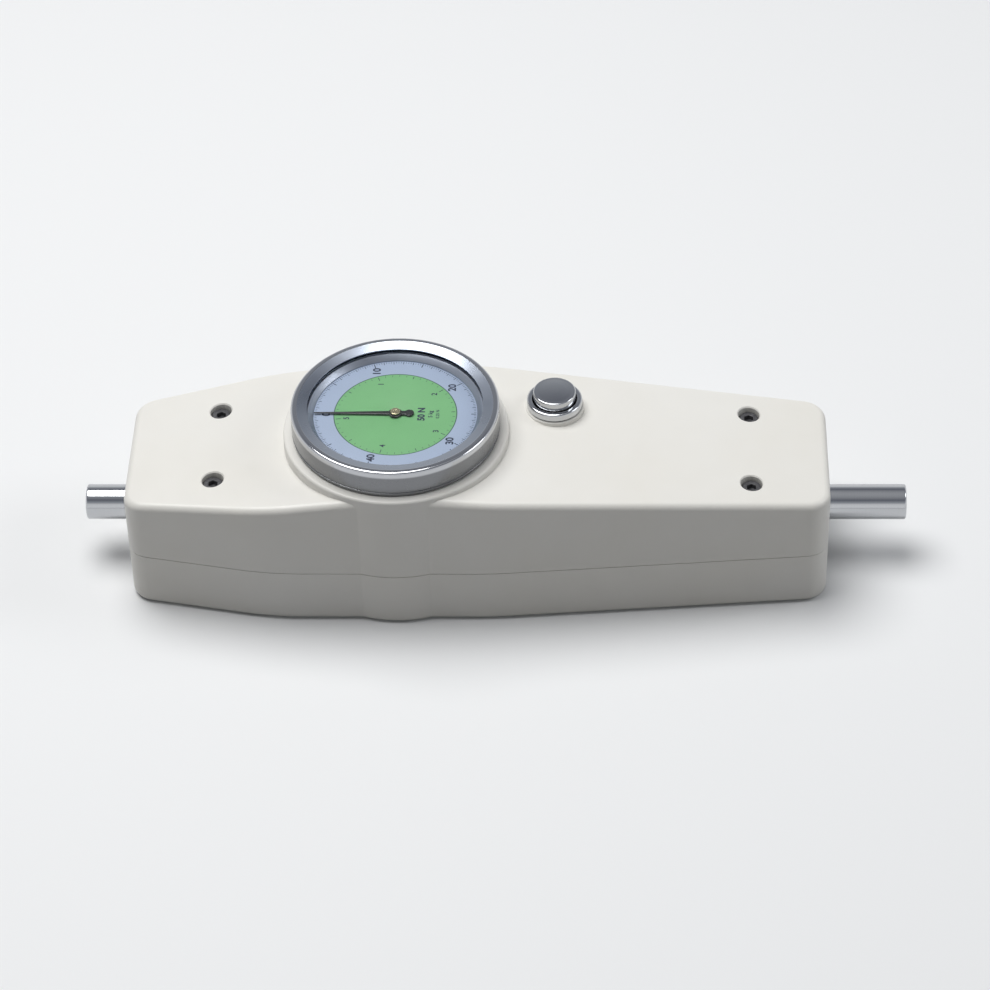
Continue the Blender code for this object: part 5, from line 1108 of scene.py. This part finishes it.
class GAUGE_OT_pointer(bpy.types.Operator):
    """Make the pointer and its hub"""

    bl_idname = "gauge.pointer"
    bl_label = "Pointer"

    def execute(self, context):
        dial = context.scene.gauge_dial
        low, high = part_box("pointer")
        black = soft_black("pointer_paint", tuple(dial.pointer_colour), 0.34, 1800, 0.000006, 0.4)
        needle = self.needle(low, high)
        show("black_pointer", mesh_of("black_pointer", needle), black, "pointer", ["pointer"])
        hub_low, hub_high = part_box("pointer_hub")
        metal = turned_metal("hub_brass", (0.62, 0.54, 0.36), 0.2, (DIAL_X, 0, 0), "Z", 0.5)
        base, top, reach, brim, well = hub_low.z, hub_high.z, 0.0014, 0.0007, 0.0005
        floor = top - 0.00015
        corners = [(0, base), (reach, base), (reach, top), (brim, top), (well, floor), (0, floor)]
        hub = solid_of(softened(corners, [0, 0.00004, 0.00022, 0.00005, 0.00004, 0], 5), SMALL,
                       (DIAL_X, 0, 0))
        show("pointer_cap", mesh_of("pointer_cap", hub), metal, "pointer", ["pointer_hub"])
        return {"FINISHED"}

    def needle(self, low, high):
        """The pointer: its half width at each place is the greatest of a taper to the tip, a
        round boss and a round tail, and its section is a low roof with rounded sides."""
        tip, tail = low.x - DIAL_X, high.x - DIAL_X
        boss, drop = 0.0019, 0.0013
        along = np.concatenate([np.linspace(tip, -0.0024, 60), np.linspace(-0.0023, tail, 80)])
        tip_half, root_half, squareness, sides = 0.00022, 0.00075, 0.6, 16
        taper = tip_half + (root_half - tip_half) * (along - tip) / -tip
        taper = np.where(along < tail - drop, taper, 0)
        round_boss = np.sqrt(np.maximum(boss ** 2 - along ** 2, 0))
        round_tail = np.sqrt(np.maximum(drop ** 2 - (along - tail + drop) ** 2, 0))
        half = np.maximum(np.maximum(taper, round_boss), round_tail)
        turn = np.linspace(0, 2 * pi, sides, endpoint=False)[:, None]
        across = np.sign(np.cos(turn)) * np.abs(np.cos(turn)) ** squareness * half
        middle, rise = (low.z + high.z) / 2, (high.z - low.z) / 2
        up = np.sign(np.sin(turn)) * np.abs(np.sin(turn)) ** squareness * rise + middle
        points = np.stack(np.broadcast_arrays(along + DIAL_X, across, up), axis=-1)
        first, last = (end.mean(axis=0, keepdims=True).repeat(sides, 0)
                       for end in (points[:, :1], points[:, -1:]))
        return net(np.concatenate([first, points, last], axis=1))


class GAUGE_OT_button(bpy.types.Operator):
    """Make the peak button and the cup that guides it"""

    bl_idname = "gauge.button"
    bl_label = "Peak button"

    def execute(self, context):
        metal = context.scene.gauge_metal
        centre = (BUTTON_X, BUTTON_Y, 0)
        chrome = turned_metal("button_chrome", tuple(metal.chrome), 0.1, centre, "Z", 0.35, 0.05)
        rise, bottom = CUP_HIGH.z, CUP_LOW.z
        seat = rise - 0.0022
        flange, barrel, bore, stem = 0.0078, 0.0072, 0.0063, 0.0025
        corners = [(flange, rise), (flange, seat), (barrel, seat), (barrel, bottom),
                   (stem, bottom), (stem, bottom + 0.0015), (bore, bottom + 0.0015), (bore, rise)]
        radii = [0.0006, 0.0002, 0, 0.0003, 0.0001, 0.0001, 0.0002, 0.0003]
        cup = ring_of(softened(corners, radii, 6), ROUND, centre)
        show("chromed_cup", mesh_of("chromed_cup", cup), chrome, "case", ["button_cup"])
        self.button(chrome, centre)
        return {"FINISHED"}

    def button(self, chrome, centre):
        """The button: a shallow dome, whose height falls with the square of the distance, a
        rounded edge, a groove under it and the stem down to the lever."""
        top, tip = BUTTON_HIGH.z, BUTTON_LOW.z
        skirt, radius, stem, point, steps = top - 0.0054, 0.006, 0.0022, 0.0008, 6
        reach = np.linspace(0, radius - 0.0009, 14)
        dome = top - 0.0003 * (reach / radius) ** 2
        rest = softened([(reach[-1], dome[-1]), (radius, dome[-1]), (radius, skirt),
                         (stem, skirt), (stem, tip + 0.0014), (point, tip), (0, tip),
                         (0, dome[-1])],
                        [0, 0.0008, 0.0002, 0.0002, 0.0002, 0.0001, 0, 0], steps)
        rest = rest[steps + 1:-steps - 1]
        profile = np.concatenate([np.stack([reach, dome], axis=1), rest])
        show("chromed_button", mesh_of("chromed_button", solid_of(profile, ROUND, centre)),
             chrome, "button", ["peak_button"])


class GAUGE_OT_springs(bpy.types.Operator):
    """Make the two load springs, the button's spring and the hairspring"""

    bl_idname = "gauge.springs"
    bl_label = "Springs"

    def execute(self, context):
        steel = brushed("spring_steel", (0.30, 0.31, 0.33), 0.34, scale=420)
        for side in ("left", "right"):
            low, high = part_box(f"load_spring_{side}")
            wire = 0.00095
            radius = (high.y - low.y) / 2 - wire
            form = moved(coil(low.x, high.x, radius, wire, 5, 0.5), (0, 0, ROD_AXIS), "X")
            piece = show(f"coil_{side}", mesh_of("load_coil", form), steel, "case",
                         [f"load_spring_{side}"])
            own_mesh(piece)
        low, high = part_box("button_spring")
        wire = 0.0003
        radius = (high.x - low.x) / 2 - wire
        form = moved(coil(low.z, high.z, radius, wire, 4, 0.75), (BUTTON_X, BUTTON_Y, 0))
        piece = show("coil_button", mesh_of("button_coil", form), steel, "case",
                     ["button_spring"])
        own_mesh(piece)
        self.hairspring(steel)
        return {"FINISHED"}

    def hairspring(self, steel):
        """The hairspring: a flat spiral whose radius grows evenly with its angle."""
        low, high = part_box("hairspring")
        turns, inner, outer, half_width = 4.5, 0.0027, 0.0085, 0.00008
        angle = np.linspace(0, 2 * pi * turns, 360)
        radius = inner + (outer - inner) * angle / angle[-1]
        outward = np.stack([np.cos(angle), np.sin(angle), 0 * angle], axis=1)
        path = outward * radius[:, None] + np.array([DIAL_X, 0, (low.z + high.z) / 2])
        form = tube(path, outward, half_width, (high.z - low.z) / 2, 8)
        show("hair_spiral", mesh_of("hair_spiral", form), steel, "case", ["hairspring"])


class GAUGE_OT_inside(bpy.types.Operator):
    """Give the working parts inside the case their finishes"""

    bl_idname = "gauge.inside"
    bl_label = "Inner finishes"

    def execute(self, context):
        finishes = {
            "steel": brushed("turned_steel", (0.45, 0.46, 0.48), 0.3),
            "brass": brushed("machined_brass", (0.62, 0.45, 0.19), 0.26),
            "alloy": brushed("machined_alloy", (0.60, 0.61, 0.62), 0.38),
            "spring_steel": brushed("clip_steel", (0.30, 0.31, 0.33), 0.34),
            "rubber": soft_black("rubber", (0.02, 0.02, 0.02), 0.78, 900, 0.00003, 0.5),
        }
        slots = {row["node"]: row["material_slot"] for row in frame["record"]["subparts"]}
        for name, node in NODES.items():
            if node.hide_render:
                continue
            finish = finishes.get(slots[name])
            if finish is None:
                raise RuntimeError(f"{name} is shown and has no finish")
            node.data.materials.clear()
            node.data.materials.append(finish)
        return {"FINISHED"}


# The stage


def area_lamp(name, place, target, size, power, colour):
    """A round soft lamp that faces a point."""
    data = bpy.data.lights.new(name, "AREA")
    data.shape = "DISK"
    data.size = size
    data.energy = power
    data.color = colour
    lamp = bpy.data.objects.new(name, data)
    lamp.location = place
    lamp.rotation_euler = (Vector(target) - Vector(place)).to_track_quat("-Z", "Y").to_euler()
    bpy.context.scene.collection.objects.link(lamp)


def seen_rays(tree):
    """One where a ray comes from the camera, a mirror or a glass, and nought for soft light."""
    rays = tree.node("ShaderNodeLightPath").socket.node.outputs
    camera, glossy, through = (Reading(tree, rays[f"Is {kind} Ray"])
                               for kind in ("Camera", "Glossy", "Transmission"))
    return tree.node("ShaderNodeMath", {"operation": "MINIMUM"},
                     {0: camera + glossy + through, 1: 1.0})


class GAUGE_OT_stage(bpy.types.Operator):
    """Make the floor, the lamps, the world and the camera"""

    bl_idname = "gauge.stage"
    bl_label = "Stage"

    def execute(self, context):
        stage = context.scene.gauge_stage
        self.floor(stage)
        self.world()
        target = (0.0, 0.0, 0.02)
        area_lamp("key_lamp", (-0.28, 0.20, 1.15), target, 0.9, 13.0, (1.0, 0.995, 0.985))
        area_lamp("side_lamp", (0.95, 0.10, 0.75), target, 0.5, 2.4, (0.96, 0.98, 1.0))
        self.camera(stage, target)
        context.scene.view_settings.view_transform = "Standard"
        return {"FINISHED"}

    def floor(self, stage):
        """A level sheet: a square grid of points under the case."""
        half, drop = 2.5, 0.0001
        line = np.linspace(-half, half, stage.divisions + 1)
        x, y = np.meshgrid(line, line, indexing="ij")
        points, faces = net(np.stack([x, y, 0 * x - drop], axis=-1), False)
        mesh = bpy.data.meshes.new("floor")
        mesh.from_pydata(points.tolist(), [], faces.tolist())
        finish = Finish("floor_sheet", tuple(stage.floor), 0.0, 0.6)
        cloud = finish.noise(finish.place(), 1.5, 2.0)
        sheet = finish.colour(cloud, tuple(stage.floor), dimmed(stage.floor, 0.985))
        finish.shade(Base_Color=finish.colour(seen_rays(finish), tuple(stage.floor_bounce),
                                              sheet))
        mesh.materials.append(finish.material)
        floor = bpy.data.objects.new("floor", mesh)
        bpy.context.scene.collection.objects.link(floor)

    def world(self):
        """Soft light from all round: pale where it is seen or mirrored low down, greyer above."""
        world = bpy.data.worlds.new("studio")
        world.use_nodes = True
        bpy.context.scene.world = world
        tree = Tree(world.node_tree)
        background = world.node_tree.nodes["Background"]
        way = tree.node("ShaderNodeTexCoord", output=0)
        height = tree.node("ShaderNodeSeparateXYZ", inputs={0: way}, output=2)
        stops = ((0.0, (0.90, 0.91, 0.92, 1)), (0.36, (0.82, 0.83, 0.84, 1)),
                 (0.54, (0.40, 0.42, 0.45, 1)), (0.76, (0.17, 0.18, 0.21, 1)),
                 (1.0, (0.45, 0.46, 0.48, 1)))
        shown = tree.node("ShaderNodeValToRGB", {"stops": stops}, {0: height})
        soft = (0.16, 0.163, 0.17)
        tree.put(background.inputs["Color"], tree.colour(seen_rays(tree), soft, shown))

    def camera(self, stage, target):
        """A camera at the photograph's viewing angle, turned so that the rod lies level."""
        data = bpy.data.cameras.new("camera")
        data.lens = stage.lens
        data.clip_start = 0.01
        level = np.cos(stage.elevation)
        away = Vector((np.sin(stage.azimuth) * level, -np.cos(stage.azimuth) * level,
                       np.sin(stage.elevation)))
        ahead = -away
        right = Vector((1, 0, 0)) - ahead * ahead.x
        right.normalize()
        up = right.cross(ahead)
        camera = bpy.data.objects.new("camera", data)
        turn = Matrix((right, up, away)).transposed().to_4x4()
        camera.matrix_world = Matrix.Translation(Vector(target) + away * stage.distance) @ turn
        bpy.context.scene.collection.objects.link(camera)
        bpy.context.scene.camera = camera


OPERATORS = (GAUGE_OT_case, GAUGE_OT_screws, GAUGE_OT_rod, GAUGE_OT_bezel, GAUGE_OT_dial,
             GAUGE_OT_pointer, GAUGE_OT_button, GAUGE_OT_springs, GAUGE_OT_inside,
             GAUGE_OT_stage)
GROUPS = {"gauge_case": GAUGE_PG_case, "gauge_dial": GAUGE_PG_dial, "gauge_metal": GAUGE_PG_metal,
          "gauge_stage": GAUGE_PG_stage}


class GAUGE_PT_panel(bpy.types.Panel):
    """Lists the gauge's pieces with their sizes and colours"""

    bl_label = "Force gauge"
    bl_idname = "GAUGE_PT_panel"
    bl_space_type = "VIEW_3D"
    bl_region_type = "UI"
    bl_category = "Gauge"

    def draw(self, context):
        for name in GROUPS:
            group = getattr(context.scene, name)
            box = self.layout.box()
            for key in group.bl_rna.properties.keys():
                if key not in ("rna_type", "name"):
                    box.prop(group, key)
        for operator in OPERATORS:
            self.layout.operator(operator.bl_idname)


def register():
    """Register the groups, the operators and the panel."""
    for kind in (*GROUPS.values(), *OPERATORS, GAUGE_PT_panel):
        bpy.utils.register_class(kind)
    for name, kind in GROUPS.items():
        setattr(bpy.types.Scene, name, PointerProperty(type=kind))


def unregister():
    """Take away what register added."""
    for name in GROUPS:
        delattr(bpy.types.Scene, name)
    for kind in (GAUGE_PT_panel, *reversed(OPERATORS), *GROUPS.values()):
        bpy.utils.unregister_class(kind)


def main():
    register()
    for operator in OPERATORS:
        group, name = operator.bl_idname.split(".")
        getattr(getattr(bpy.ops, group), name)()


if __name__ == "__main__":
    main()
